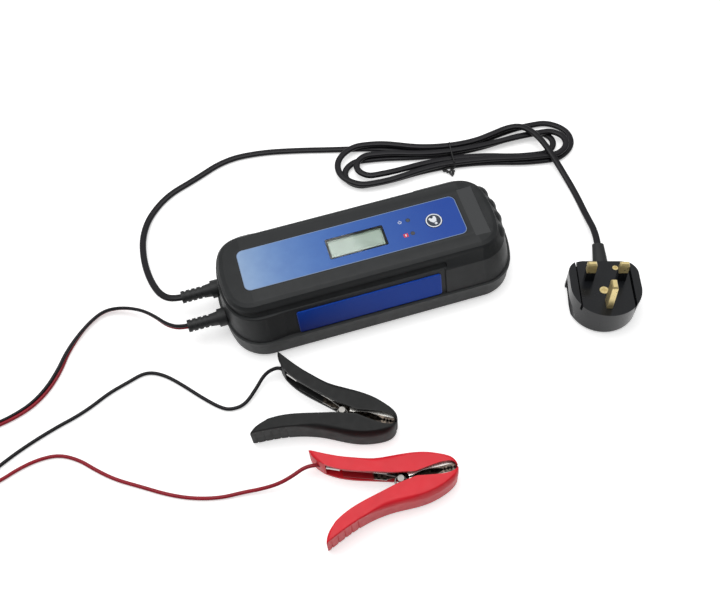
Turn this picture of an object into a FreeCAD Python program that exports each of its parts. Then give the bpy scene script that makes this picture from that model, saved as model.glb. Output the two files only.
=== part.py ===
# Car battery charger with a mains lead, a three-pin plug and two battery clamps, in millimetres.
# The origin is under the middle of the charger's case, at the floor. X runs along the case, with the
# cable glands at -X and the ribbed end at +X. Y runs to the back and Z is up.
import FreeCAD, Part
import math
import os
import re

import Sketcher
from FreeCAD import Placement, Rotation, Vector

DRIVING = [
    # charger case
    ("case_left", 107.5, "middle to the left end, at the seam flange"),
    ("case_right", 107.5, "middle to the right end, at the seam flange"),
    ("case_half_width", 43.6, "middle to the long side, at the seam flange"),
    ("case_corner", 26.0, "corner radius of the case, at the seam flange"),
    ("end_curve", 80.0, "radius of the gently curved ends"),
    ("case_height", 50.0, "floor to the top of the deck"),
    ("case_wall", 2.2, "wall of the top shell, and floor of the bottom shell"),
    ("deck_thick", 2.1, "deck, under the label's recess"),
    ("foot_height", 1.0, "how far the rubber feet stand out"),
    ("foot_radius", 5.0, "radius of a rubber foot"),
    ("foot_seat", 0.6, "depth of the recess for a foot"),
    ("foot_along", 74.0, "middle to a foot, along the case"),
    ("foot_across", 24.0, "middle to a foot, across the case"),
    ("base_wall", 3.3, "wall of the bottom shell, wide enough for the seal's groove"),
    ("base_inset", 0.5, "flange to the top of the bottom shell's wall"),
    ("base_lean", 0.3, "how far that wall leans in, down to the floor"),
    ("base_round", 2.4, "rounding round the bottom of the case"),
    ("flange_bottom", 15.2, "underside of the seam flange"),
    ("seam_height", 18.8, "where the two shells meet"),
    ("flange_step", 1.6, "seam flange to the foot of the top shell's wall"),
    ("wall_top", 40.0, "crisp top edge of the side wall"),
    ("wall_lean", 5.8, "how far the side wall leans in, up to its top edge"),
    ("left_lean", 1.6, "how far the left end leans in, up to the same height"),
    ("right_lean", 4.6, "how far the right end leans in, up to the same height"),
    ("lip_height", 46.4, "top of the deck's lip"),
    ("lip_inset", 5.2, "side wall's top edge to the deck's lip"),
    ("lip_inset_left", 1.8, "the same at the left end"),
    ("lip_inset_right", 4.2, "the same at the right end"),
    ("lip_corner", 18.0, "corner radius of the deck's lip"),
    ("deck_crown", 13.0, "width of the deck's rounded border"),
    ("groove_rise", 0.8, "side wall's top edge to the shadow groove under the lip"),
    ("groove_width", 4.2, "height of the groove"),
    ("groove_depth", 1.8, "depth of the groove, at its floor"),
    ("groove_right", 49.0, "where the groove ends, towards the ribbed end"),
    ("panel_left", -66.0, "left end of the set-back panel for the side badge"),
    ("panel_right", 49.5, "right end of that panel"),
    ("panel_depth", 1.2, "how far the panel is set back"),
    ("panel_ramp", 12.0, "length of the ramp into the panel"),
    ("lobe_pitch", 12.0, "spacing of the grip lobes on the right end"),
    ("lobe_radius", 8.0, "radius of a grip lobe"),
    ("lobe_proud", 1.7, "how far a grip lobe stands out"),
    ("notch_along", 67.0, "middle to the pry notch in the bottom edge"),
    ("notch_width", 3.2, "pry notch"),
    # label, display and controls
    ("label_length", 159.4, "label film"),
    ("label_width", 33.6, "label film"),
    ("label_corner", 4.6, "corner radius of the label film"),
    ("label_offset", -7.2, "middle of the case to the middle of the label"),
    ("film_thick", 0.4, "label film"),
    ("label_recess", 0.5, "depth of the label's recess"),
    ("patch_length", 11.0, "smooth patch beside the label"),
    ("patch_width", 42.0, "smooth patch beside the label"),
    ("patch_offset", 81.8, "middle of the case to the middle of the patch"),
    ("patch_depth", 0.5, "deck to the floor of the patch"),
    ("window_length", 41.8, "display window"),
    ("window_width", 16.8, "display window"),
    ("window_corner", 1.0, "corner radius of the display window"),
    ("window_offset", -4.2, "middle of the case to the middle of the window"),
    ("window_across", -0.9, "the same across the case"),
    ("window_ledge", 1.5, "ledge that the window's pane sits on"),
    ("pane_thick", 1.2, "clear pane of the display window"),
    ("fit_gap", 0.15, "clearance round a piece that is set into another"),
    ("key_radius", 5.8, "mode button"),
    ("key_flange", 1.2, "how far the button's flange reaches under the deck"),
    ("key_offset", 52.6, "middle of the case to the mode button"),
    ("key_across", -0.2, "the same across the case"),
    ("key_gap", 0.3, "clearance round the mode button"),
    ("key_proud", 0.35, "how far the mode button stands out of the film"),
    ("key_travel", 0.5, "how far the mode button goes in"),
    ("key_float", 0.1, "clearance at each end of the button's travel"),
    ("lamp_radius", 1.5, "indicator lamp"),
    ("lamp_offset", 35.3, "middle of the case to the two lamps"),
    ("lamp_pitch", 11.6, "between the two lamps, across the case"),
    ("badge_length", 103.6, "side badge"),
    ("badge_height", 18.6, "side badge, along the leaning wall"),
    ("badge_corner", 1.6, "corner radius of the side badge"),
    ("badge_offset", -5.9, "middle of the case to the middle of the badge"),
    ("badge_thick", 1.0, "side badge"),
    ("badge_foot", 1.1, "seam to the badge's lower edge, along the wall"),
    # inside the case
    ("boss_along", 84.0, "middle to a case screw, along the case"),
    ("boss_across", 26.0, "the same across the case"),
    ("boss_radius", 4.0, "pillar for a case screw"),
    ("screw_radius", 1.5, "case screw"),
    ("screw_head", 2.8, "radius of a case screw's head"),
    ("screw_head_thick", 2.0, "head of a case screw"),
    ("screw_length", 26.0, "case screw under its head"),
    ("head_depth", 5.0, "depth of the well for a case screw's head"),
    ("screw_gap", 0.15, "clearance round a screw's shank"),
    ("board_length", 150.0, "main circuit board"),
    ("board_width", 62.0, "main circuit board"),
    ("board_corner", 2.0, "corner radius of both circuit boards"),
    ("board_thick", 1.6, "both circuit boards"),
    ("board_height", 8.0, "underside of the main circuit board"),
    ("post_along", 66.0, "middle to a board post"),
    ("post_across", 26.0, "the same across the case"),
    ("post_radius", 3.0, "board post"),
    ("tack_radius", 1.2, "small screw for a board"),
    ("tack_head", 2.2, "radius of its head"),
    ("tack_head_thick", 1.5, "its head"),
    ("tack_length", 6.0, "small screw under its head"),
    ("panel_board_length", 96.0, "display board"),
    ("panel_board_width", 27.0, "display board"),
    ("panel_board_gap", 5.2, "deck's underside to the display board"),
    ("panel_board_offset", 15.0, "middle of the case to the middle of the display board"),
    ("seal_inset", 2.0, "seam flange to the case seal"),
    ("seal_width", 1.2, "case seal"),
    ("seal_height", 1.0, "case seal"),
    ("seal_gap", 0.1, "clearance on each side of the case seal"),
    ("lcd_length", 40.0, "display module"),
    ("lcd_width", 15.6, "display module"),
    ("switch_side", 6.0, "side of the push switch"),
    ("switch_height", 3.4, "push switch with its plunger"),
    ("plunger_radius", 1.7, "plunger of the push switch"),
    ("core_length", 34.0, "transformer core"),
    ("core_width", 14.0, "transformer core"),
    ("core_height", 26.0, "transformer core"),
    ("core_leg", 5.0, "outer legs and yokes of the transformer core"),
    ("core_offset", -14.0, "middle of the case to the transformer"),
    ("winding_gap", 0.4, "clearance round the winding"),
    ("bulk_radius", 9.0, "mains smoothing capacitor"),
    ("bulk_height", 30.0, "mains smoothing capacitor"),
    ("bulk_offset", -50.0, "middle of the case to that capacitor"),
    ("bulk_across", 13.0, "the same across the case"),
    ("output_radius", 5.0, "output capacitor"),
    ("output_height", 20.0, "output capacitor"),
    ("output_offset", 57.0, "middle of the case to the output capacitors"),
    ("output_pitch", 12.0, "spacing of the output capacitors"),
    ("choke_radius", 8.0, "middle of the filter choke's ring"),
    ("choke_wire", 3.4, "radius of the filter choke's ring with its wire"),
    ("choke_offset", -48.0, "middle of the case to the filter choke"),
    ("choke_across", -15.0, "the same across the case"),
    ("sink_length", 40.0, "heat sink"),
    ("sink_height", 24.0, "heat sink"),
    ("sink_plate", 2.5, "plate of the heat sink"),
    ("sink_fin", 7.0, "depth of the heat sink's fins"),
    ("sink_offset", 26.0, "middle of the case to the middle of the heat sink"),
    ("sink_across", 19.0, "the same across the case, to its plate"),
    ("fin_count", 7, "fins of the heat sink"),
    ("fin_thick", 1.4, "fin of the heat sink"),
    ("package_length", 10.0, "power transistor, along the heat sink"),
    ("package_thick", 4.5, "power transistor"),
    ("package_height", 15.0, "power transistor"),
    ("package_pitch", 18.0, "between the two power transistors"),
    ("chip_side", 12.0, "controller chip"),
    ("chip_thick", 1.6, "controller chip"),
    ("chip_offset", 30.0, "middle of the case to the controller chip"),
    ("chip_across", -16.0, "the same across the case"),
    # cable glands
    ("gland_across", 12.3, "middle of the case to a cable gland"),
    ("gland_collar", 6.5, "radius of a gland's outer collar"),
    ("gland_neck", 5.0, "radius of a gland's neck, in the wall"),
    ("gland_seat", 2.7, "left end to the seat of the outer collar"),
    ("gland_collar_length", 5.7, "outer collar"),
    ("gland_root", 5.1, "radius of the tapered sleeve at the collar"),
    ("gland_tip", 4.4, "radius of the tapered sleeve where its bands start"),
    ("gland_reach", 24.7, "left end to the tip of a gland"),
    ("band_pitch", 3.9, "spacing of the bands round the end of the sleeve"),
    ("band_width", 2.4, "band on the sleeve"),
    ("band_radius", 4.5, "outside of a band"),
    ("band_core", 3.8, "outside of the sleeve between its bands"),
    # mains plug
    ("plug_along", 158.5, "middle of the case to the middle of the plug's two thin pins"),
    ("plug_across", -65.5, "the same across the case"),
    ("plug_turn", -18.0, "turn of the plug on the floor, in degrees"),
    ("plug_tilt", 7.5, "slope of the plug's face, down towards the cord, in degrees"),
    ("plug_face", 21.8, "floor to the rim of the plug's face, between the two thin pins"),
    ("plug_radius", 24.6, "round end of the plug, and half its width"),
    ("plug_round_back", 7.9, "thin pins to the middle of the round end"),
    ("plug_far", 16.5, "thin pins to the flat end"),
    ("plug_corner", 12.0, "corners of the flat end"),
    ("plug_round", 2.0, "rounding of the plug's back"),
    ("base_width", 38.0, "between the cover's side rims"),
    ("base_gap", 1.1, "side rims to the plug base"),
    ("base_recess", 1.3, "rims to the face of the plug base"),
    ("base_thick", 5.0, "plug base"),
    ("hollow_depth", 9.4, "hollow of the plug's cover under the base"),
    ("scoop_radius", 9.0, "finger scoop in the plug's side"),
    ("scoop_height", 6.0, "floor to the middle of the scoop"),
    ("scoop_depth", 4.2, "deepest point of the scoop"),
    ("pin_spread", 11.11, "middle line to a thin pin"),
    ("pin_width", 6.35, "thin pin"),
    ("pin_thick", 4.0, "thin pin"),
    ("pin_length", 17.7, "thin pin, out of the plug base"),
    ("pin_bevel", 1.2, "bevelled tip of a pin"),
    ("pin_sleeve", 9.0, "insulating sleeve of a thin pin"),
    ("pin_sleeve_wall", 0.35, "insulating sleeve of a thin pin"),
    ("earth_back", 22.23, "thin pins to the earth pin"),
    ("earth_width", 4.0, "earth pin"),
    ("earth_thick", 8.0, "earth pin"),
    ("earth_length", 22.7, "earth pin, out of the plug base"),
    ("terminal_side", 6.6, "terminal block under a pin"),
    ("terminal_height", 5.5, "terminal block under a pin"),
    ("fuse_radius", 3.15, "cartridge fuse"),
    ("fuse_length", 25.4, "cartridge fuse"),
    ("fuse_along", 4.5, "middle line of the plug to the fuse, beside the live pin's terminal"),
    ("cover_screw_radius", 3.1, "head of the plug's cover screw"),
    ("cover_screw_along", -1.5, "middle line of the plug to the cover screw"),
    ("cover_screw_back", 9.8, "thin pins to the cover screw"),
    ("grip_screw_radius", 2.0, "head of the plug's cord grip screw"),
    ("grip_screw_along", 9.0, "middle line of the plug to the cord grip screw"),
    ("grip_screw_far", 10.6, "thin pins to the cord grip screw"),
    ("cross_width", 0.6, "cross recess in the head of a plug screw"),
    ("cross_depth", 0.6, "cross recess in the head of a plug screw"),
    ("sleeve_offset", 1.4, "middle line of the plug to the cord sleeve"),
    ("sleeve_height", 9.4, "floor to the middle of the cord sleeve"),
    ("sleeve_length", 20.0, "cord sleeve outside the plug"),
    ("sleeve_root_width", 11.4, "cord sleeve at the plug"),
    ("sleeve_root_thick", 7.4, "cord sleeve at the plug"),
    ("sleeve_tip_width", 8.6, "cord sleeve at its tip"),
    ("sleeve_tip_thick", 6.0, "cord sleeve at its tip"),
    # battery clamps
    ("clamp_length", 91.7, "jaw tip to the end of the handles"),
    ("clamp_spread", 31.1, "middle line to the outer corner of a handle's end"),
    ("clamp_waist", 16.2, "middle line to the back of a half, just behind the pivot"),
    ("clamp_nose", 9.9, "middle line to the back of a half, near the jaw tip"),
    ("clamp_width", 20.0, "clamp along its pivot pin"),
    ("clamp_pivot", 37.7, "jaw tip to the pivot pin"),
    ("grip_wall", 2.4, "plastic grip"),
    ("grip_round", 2.0, "rounded edges of a grip's back"),
    ("jaw_wall", 1.0, "sheet steel jaw"),
    ("jaw_seat", 0.2, "clearance between a jaw and its grip"),
    ("jaw_gap", 0.15, "each jaw to the middle line, when closed"),
    ("jaw_inset", 1.0, "grip's cheek to the outer jaw's cheek"),
    ("ear_gap", 0.3, "clearance between the cheeks of the two jaws"),
    ("ear_radius", 5.4, "ear of a jaw round the pivot pin"),
    ("tooth_pitch", 2.2, "teeth of the jaws"),
    ("tooth_depth", 1.1, "teeth of the jaws"),
    ("ear_reach", 9.5, "pivot pin to the square end of an ear, towards the handles"),
    ("mouth_bow", 3.0, "middle line to the edge of a grip, halfway along the jaws"),
    ("rivet_radius", 1.6, "pivot pin"),
    ("rivet_gap", 0.06, "running clearance round the pivot pin"),
    ("rivet_head", 2.15, "radius of the pivot pin's heads"),
    ("rivet_head_thick", 0.5, "heads of the pivot pin"),
    ("spring_radius", 3.5, "middle of the spring's turns"),
    ("spring_wire", 0.65, "radius of the spring's wire"),
    ("spring_turns", 3, "full turns of the spring"),
    ("spring_leg", 17.0, "pivot to the ends of the spring's legs, along the clamp"),
    ("crimp_radius", 1.9, "crimp on the end of a clamp's lead"),
    ("crimp_length", 9.0, "crimp on the end of a clamp's lead"),
    ("black_along", -13.6, "middle of the case to the black clamp's jaw tip"),
    ("black_across", -124.0, "the same across the case"),
    ("black_turn", -30.65, "turn of the black clamp on the floor, in degrees"),
    ("red_along", 14.6, "middle of the case to the red clamp's jaw tip"),
    ("red_across", -163.9, "the same across the case"),
    ("red_turn", -4.27, "turn of the red clamp on the floor, in degrees"),
    # cords
    ("mains_radius", 2.1, "mains cord"),
    ("twin_radius", 1.9, "twin lead, as one round tube"),
    ("lead_radius", 1.3, "single lead to a clamp"),
    ("cord_depth", 6.0, "depth of a cord in its gland's bore"),
    ("cord_fit", 0.05, "clearance round a cord in a bore"),
    ("sleeve_bore", 9.0, "depth of the mains cord in the plug's sleeve"),
    ("lay_height", 0.8, "floor to the underside of the hank and the coil, for the ties"),
    ("layer_rise", 4.8, "from one layer of cord to the next"),
    ("column_pitch", 5.7, "between neighbouring runs or turns of cord"),
    ("coil_radius", 37.5, "outermost half turn of the put-away coil"),
    ("coil_along", -322.0, "middle of the case to the coil"),
    ("hank_along", 98.0, "middle of the case to the middle of the hank"),
    ("hank_across", 91.0, "the same across the case"),
    ("hank_turn", -6.3, "turn of the hank on the floor, in degrees"),
    ("tie_width", 4.0, "ties of the hank and the coil"),
    ("tie_thick", 0.5, "ties of the hank and the coil"),
    ("splitter_length", 30.0, "moulded piece where the twin lead splits"),
    ("splitter_width", 14.0, "moulded piece where the twin lead splits"),
    ("splitter_bore", 6.0, "depth of a cord in the moulded piece"),
    ("fork_spread", 3.0, "middle line of the moulded piece to each single lead"),
    ("splitter_thick", 6.0, "moulded piece where the twin lead splits"),
]

doc = FreeCAD.newDocument("battery_charger")
sheet = doc.addObject("Spreadsheet::Sheet", "sizes")
for row, (alias, size, meaning) in enumerate(DRIVING, start=1):
    sheet.set(f"A{row}", alias)
    sheet.set(f"B{row}", str(size))
    sheet.set(f"C{row}", meaning)
    sheet.setAlias(f"B{row}", alias)
doc.recompute()

SUBPARTS = {}
TOOTH_COUNT = 4
UP = Vector(0, 0, 1)
ALONG = Vector(1, 0, 0)
ACROSS = Vector(0, 1, 0)


def value(formula):
    """The number that a formula of sheet cells gives."""
    return float(sheet.evalExpression(formula))


def linked(formula):
    """The formula with each cell's name turned into a reference to the sheet."""
    return re.sub(r"[a-z]+_[a-z_]+", lambda found: "sizes." + found.group(0), formula)


def subpart(name, feature):
    """Registers a finished sub-part under its node name."""
    feature.Label = name
    SUBPARTS[name] = feature
    return feature


def bind(feature, formulas):
    """Ties properties of a feature to formulas of sheet cells."""
    for path, formula in formulas.items():
        feature.setExpression(path, linked(str(formula)))
    return feature


def at(x, y, z):
    """Formulas for a feature's place."""
    return {"Placement.Base.x": x, "Placement.Base.y": y, "Placement.Base.z": z}


def box(name, corner, sides):
    """A box from its lowest corner and its three sides."""
    feature = doc.addObject("Part::Box", name)
    length, width, height = sides
    return bind(feature, {"Length": length, "Width": width, "Height": height, **at(*corner)})


def block(name, middle, sides):
    """A box from the middle of its underside and its three sides."""
    (x, y, z), (length, width, _) = middle, sides
    return box(name, (f"{x} - ({length}) / 2", f"{y} - ({width}) / 2", z), sides)


def cylinder(name, place, radius, height, turn=None):
    """A cylinder that stands on its place, or points where the rotation sends +Z."""
    feature = doc.addObject("Part::Cylinder", name)
    if turn:
        feature.Placement = Placement(Vector(), turn)
    return bind(feature, {"Radius": radius, "Height": height, **at(*place)})


def cut(name, base, *tools):
    """The base without the tools."""
    feature = doc.addObject("Part::Cut", name)
    feature.Base = base
    feature.Tool = tools[0] if len(tools) == 1 else fuse(name + "_tools", *tools)
    return feature


def fuse(name, *shapes):
    """One solid from several."""
    feature = doc.addObject("Part::MultiFuse", name)
    feature.Shapes = list(shapes)
    return feature


def common(name, *shapes):
    """What several shapes have in common."""
    feature = doc.addObject("Part::MultiCommon", name)
    feature.Shapes = list(shapes)
    return feature


def group(name, *shapes):
    """Identical pieces that share one node, as separate solids."""
    feature = doc.addObject("Part::Compound", name)
    feature.Links = list(shapes)
    return feature


def loft(name, *sections):
    """A solid through closed outlines, straight from each to the next."""
    feature = doc.addObject("Part::Loft", name)
    feature.Sections = list(sections)
    feature.Solid = True
    feature.Ruled = True
    return feature


def four(along, across):
    """The four places of a rectangular pattern, as pairs of formulas."""
    return [(f"{sx} * {along}", f"{sy} * {across}") for sx in (-1, 1) for sy in (-1, 1)]


def arc(x, y, radius, start, end):
    """A sketch arc, its angles in degrees."""
    circle = Part.Circle(Vector(x, y, 0), UP, radius)
    return Part.ArcOfCircle(circle, math.radians(start), math.radians(end))


def join_round(sketch):
    """Joins neighbouring edges of a closed sketch, tangent to each other."""
    count = sketch.GeometryCount
    for edge in range(count):
        sketch.addConstraint(Sketcher.Constraint("Tangent", edge, 2, (edge + 1) % count, 1))


def hold(sketch, kind, *edges):
    """Adds the same kind of constraint to several edges."""
    for edge in edges:
        sketch.addConstraint(Sketcher.Constraint(kind, *edge))


def drive(sketch, kind, where, size, formula):
    """Adds a constraint whose size is a formula of sheet cells."""
    index = sketch.addConstraint(Sketcher.Constraint(kind, *where, size))
    sketch.setExpression(f"Constraints[{index}]", linked(formula))


def end_bend(half_width, corner):
    """How far the corner's centre lies from the end curve's, and the angle at which the two arcs meet."""
    big = value("end_curve")
    side = math.sqrt((big - corner) ** 2 - (half_width - corner) ** 2)
    return side, math.degrees(math.atan2(half_width - corner, side))


def case_outline(name, height, left, right, half_width, corner):
    """The closed outline of the case at one height: straight sides, round corners, slightly curved ends."""
    sketch = doc.addObject("Sketcher::SketchObject", name)
    bind(sketch, {"Placement.Base.z": height})
    wide, small, big = value(half_width), value(corner), value("end_curve")
    right_mid, left_mid = value(right) - big, big - value(left)
    side, tip = end_bend(wide, small)
    right_x, left_x = right_mid + side, left_mid - side
    low, high = small - wide, wide - small
    sketch.addGeometry([
        Part.LineSegment(Vector(left_x, -wide, 0), Vector(right_x, -wide, 0)),
        arc(right_x, low, small, -90, -tip),
        arc(right_mid, 0, big, -tip, tip),
        arc(right_x, high, small, tip, 90),
        Part.LineSegment(Vector(right_x, wide, 0), Vector(left_x, wide, 0)),
        arc(left_x, high, small, 90, 180 - tip),
        arc(left_mid, 0, big, 180 - tip, 180 + tip),
        arc(left_x, low, small, 180 + tip, 270),
    ], False)
    join_round(sketch)
    hold(sketch, "Horizontal", (0,), (4,))
    hold(sketch, "Equal", (1, 3), (1, 5), (1, 7), (2, 6))
    hold(sketch, "PointOnObject", (2, 3, -1), (6, 3, -1))
    drive(sketch, "Radius", (1,), small, corner)
    drive(sketch, "Radius", (2,), big, "end_curve")
    drive(sketch, "DistanceX", (-1, 1, 2, 3), right_mid, f"{right} - end_curve")
    drive(sketch, "DistanceX", (6, 3, -1, 1), -left_mid, f"{left} - end_curve")
    drive(sketch, "DistanceY", (-1, 1, 4, 1), wide, half_width)
    drive(sketch, "DistanceY", (0, 1, -1, 1), wide, half_width)
    return sketch


def flange_outline(name, height, inset):
    """The outline of the seam flange, drawn in by a formula on every side."""
    return case_outline(
        name, height, f"case_left - ({inset})", f"case_right - ({inset})",
        f"case_half_width - ({inset})", f"case_corner - ({inset})",
    )


def edge_outline(name, height, inset):
    """The outline of the side wall's top edge, drawn in by a formula."""
    return case_outline(
        name, height, f"case_left - flange_step - left_lean - ({inset})",
        f"case_right - flange_step - right_lean - ({inset})",
        f"case_half_width - flange_step - wall_lean - ({inset})", f"case_corner - 3 - ({inset})",
    )


def lip_outline(name, height, inset):
    """The outline of the deck's lip, drawn in by a formula."""
    return case_outline(
        name, height, f"case_left - flange_step - left_lean - lip_inset_left - ({inset})",
        f"case_right - flange_step - right_lean - lip_inset_right - ({inset})",
        f"case_half_width - flange_step - wall_lean - lip_inset - ({inset})", f"lip_corner - ({inset})",
    )


def plate(name, place, length, width, corner, thick):
    """A flat plate with round corners, lying with the middle of its underside on its place."""
    body = doc.addObject("PartDesign::Body", name)
    sketch = body.newObject("Sketcher::SketchObject", name + "_outline")
    floor = [plane for plane in body.Origin.OriginFeatures if plane.Role == "XY_Plane"][0]
    sketch.AttachmentSupport = (floor, [""])
    sketch.MapMode = "FlatFace"
    x, y, small = value(length) / 2, value(width) / 2, value(corner)
    sketch.addGeometry([
        Part.LineSegment(Vector(small - x, -y, 0), Vector(x - small, -y, 0)),
        arc(x - small, small - y, small, -90, 0),
        Part.LineSegment(Vector(x, small - y, 0), Vector(x, y - small, 0)),
        arc(x - small, y - small, small, 0, 90),
        Part.LineSegment(Vector(x - small, y, 0), Vector(small - x, y, 0)),
        arc(small - x, y - small, small, 90, 180),
        Part.LineSegment(Vector(-x, y - small, 0), Vector(-x, small - y, 0)),
        arc(small - x, small - y, small, 180, 270),
    ], False)
    join_round(sketch)
    hold(sketch, "Horizontal", (0,), (4,))
    hold(sketch, "Vertical", (2,), (6,))
    hold(sketch, "Equal", (1, 3), (1, 5))
    drive(sketch, "Radius", (1,), small, corner)
    drive(sketch, "DistanceX", (-1, 1, 2, 1), x, f"({length}) / 2")
    drive(sketch, "DistanceX", (6, 1, -1, 1), x, f"({length}) / 2")
    drive(sketch, "DistanceY", (-1, 1, 4, 1), y, f"({width}) / 2")
    drive(sketch, "DistanceY", (0, 1, -1, 1), y, f"({width}) / 2")
    pad = body.newObject("PartDesign::Pad", name + "_pad")
    pad.Profile = sketch
    bind(pad, {"Length": thick})
    body.Tip = pad
    return bind(body, at(*place))


# The two shells of the case


def bottom_shell():
    """Tray with a tapered wall, a seam flange, screw wells, board posts and recesses for the feet."""
    foot = "base_inset + base_lean"
    outside = fuse(
        "tray_outside",
        loft(
            "tray_wall",
            flange_outline("tray_sole", "foot_height", f"{foot} + base_round"),
            flange_outline("tray_bend", "foot_height + 0.3 * base_round", f"{foot} + 0.3 * base_round"),
            flange_outline("tray_side", "foot_height + base_round", foot),
            flange_outline("tray_rim", "flange_bottom", "base_inset"),
        ),
        loft(
            "flange", flange_outline("flange_low", "flange_bottom", "0"),
            flange_outline("flange_high", "seam_height", "0"),
        ),
    )
    hollow = loft(
        "tray_hollow",
        flange_outline("hollow_low", "foot_height + case_wall", f"{foot} + base_wall + 0.3 * base_round"),
        flange_outline("hollow_high", "seam_height", "base_inset + base_wall"),
    )
    pillars = [
        cylinder(f"tray_pillar_{n}", (x, y, "foot_height"), "boss_radius", "seam_height")
        for n, (x, y) in enumerate(four("boss_along", "boss_across"))
    ]
    posts = [
        cylinder(f"board_post_{n}", (x, y, "foot_height"), "post_radius", "board_height - foot_height")
        for n, (x, y) in enumerate(four("post_along", "post_across"))
    ]
    tools = [cut("tray_room", hollow, *pillars, *posts)]
    for n, (x, y) in enumerate(four("boss_along", "boss_across")):
        tools.append(cylinder(
            f"screw_well_{n}", (x, y, "0"), "screw_head + 2 * screw_gap", "foot_height + head_depth",
        ))
        tools.append(cylinder(f"screw_hole_{n}", (x, y, "0"), "screw_radius + screw_gap", "seam_height + 1"))
    for n, (x, y) in enumerate(four("post_along", "post_across")):
        depth = "board_thick - 0.5 - tack_length"
        tools.append(cylinder(
            f"tray_tack_hole_{n}", (x, y, f"board_height + {depth}"), "tack_radius + 0.02", "tack_length + 1",
        ))
    for n, (x, y) in enumerate(four("foot_along", "foot_across")):
        tools.append(cylinder(
            f"foot_recess_{n}", (x, y, "foot_height - 1"), "foot_radius + fit_gap", "1 + foot_seat",
        ))
    seat = "seam_height - seal_height"
    tools.append(seal_ring("seal_seat", seat, "seal_inset - seal_gap", "seal_inset + seal_width + seal_gap"))
    tools.append(box(
        "pry_notch", ("notch_along - notch_width / 2", "-case_half_width", "foot_height - 1"),
        ("notch_width", "base_inset + base_lean + base_round", "2.4"),
    ))
    return subpart("bottom_shell", cut("tray_finished", outside, *tools, *gland_holes("tray")))


def seal_ring(name, height, outer, inner):
    """A ring that follows the seam, between two insets, up to the seam."""
    return cut(
        name,
        loft(
            name + "_outer", flange_outline(name + "_a", height, outer),
            flange_outline(name + "_b", "seam_height", outer),
        ),
        loft(
            name + "_inner", flange_outline(name + "_c", height, inner),
            flange_outline(name + "_d", "seam_height", inner),
        ),
    )


def gland_holes(owner):
    """The stepped holes that the shells close round the two cable glands, half in each shell."""
    outward = Rotation(ACROSS, -90)
    holes = []
    for n, side in enumerate((1, -1)):
        place = f"{side} * gland_across"
        holes.append(cylinder(
            f"{owner}_neck_hole_{n}", ("-case_left + 10", place, "seam_height"), "gland_neck + fit_gap", "20",
            outward,
        ))
        holes.append(cylinder(
            f"{owner}_collar_hole_{n}", ("-case_left + gland_seat", place, "seam_height"),
            "gland_collar + fit_gap", "10",
            outward,
        ))
    return holes


def lean_angle():
    """How far the side wall leans in from upright, in degrees."""
    return math.degrees(math.atan2(value("wall_lean"), value("wall_top - seam_height")))


def wall_frame(side):
    """Where the side wall starts at the seam: X along the case, Y out of the wall, Z up along it."""
    half_turn = Rotation(UP, 0 if side > 0 else 180)
    return Placement(
        Vector(0, side * value("case_half_width - flange_step"), value("seam_height")),
        half_turn.multiply(Rotation(ALONG, lean_angle())),
    )


def badge_panel(name, side):
    """What the set-back panel takes off one side wall: square at the right end, a ramp at the left."""
    feature = doc.addObject("Part::Wedge", name)
    out = 4.0
    ramp = f"panel_ramp * (panel_depth + {out}) / panel_depth"
    near, far = ("panel_left", "panel_right") if side > 0 else ("-panel_right", "-panel_left")
    wide_near, wide_far = (f"panel_left - {ramp}", far) if side > 0 else (near, f"-panel_left + {ramp}")
    bind(feature, {
        "Xmin": near, "Xmax": far, "Ymin": "-panel_depth", "X2min": wide_near, "X2max": wide_far,
        "Ymax": str(out), "Zmin": "0", "Z2min": "0",
        "Zmax": "wall_top - seam_height + 2", "Z2max": "wall_top - seam_height + 2",
    })
    feature.Placement = wall_frame(side)
    return feature


def shadow_groove():
    """The dark groove under the deck's lip, round the left end and along both sides, with round ends."""
    low = "wall_top + groove_rise"
    slab = box(
        "groove_slab", ("-case_left - 5", "-case_half_width", low),
        ("case_left + 5 + groove_right", "2 * case_half_width", "groove_width"),
    )
    end = cylinder(
        "groove_end", ("groove_right", "-case_half_width", f"{low} + groove_width / 2"), "groove_width / 2",
        "2 * case_half_width", Rotation(ALONG, -90),
    )
    core = loft(
        "groove_core", edge_outline("groove_core_low", "wall_top", "groove_depth"),
        lip_outline("groove_core_high", "lip_height", "groove_depth"),
    )
    return cut("shadow_groove", fuse("groove_band", slab, end), core)


def grip_lobes():
    """Round lobes on the shoulder of the right end, each a ball that stands out of the surface a little."""
    rise, run = value("lip_height - wall_top"), value("lip_inset_right")
    slope = math.hypot(rise, run)
    reach = value("case_right - flange_step - right_lean") - run / 2
    half_width = value("case_half_width - flange_step - wall_lean - lip_inset / 2")
    corner = value("(case_corner - 3 + lip_corner) / 2")
    side, tip = end_bend(half_width, corner)
    middle = reach - value("end_curve")
    balls = []
    for n, step in enumerate((-1.5, -0.5, 0.5, 1.5)):
        across = step * value("lobe_pitch")
        angle = math.degrees(math.asin(across / value("end_curve")))
        centre, radius, offset = middle, value("end_curve"), 0
        if abs(angle) > tip:
            centre, radius, offset = middle + side, corner, math.copysign(half_width - corner, across)
            angle = math.degrees(math.asin((across - offset) / corner))
        facing = Rotation(UP, angle)
        surface = Vector(centre, offset, value("(wall_top + lip_height) / 2"))
        surface += facing.multVec(ALONG) * radius
        outward = facing.multVec(Vector(rise / slope, 0, run / slope))
        ball = doc.addObject("Part::Sphere", f"grip_lobe_{n}")
        bind(ball, {"Radius": "lobe_radius"})
        ball.Placement.Base = surface + outward * value("lobe_proud - lobe_radius")
        balls.append(ball)
    return balls


def deck_hole(name, place, radius):
    """A round hole through the deck."""
    return cylinder(name, (*place, "case_height - 10"), radius, "20")


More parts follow.
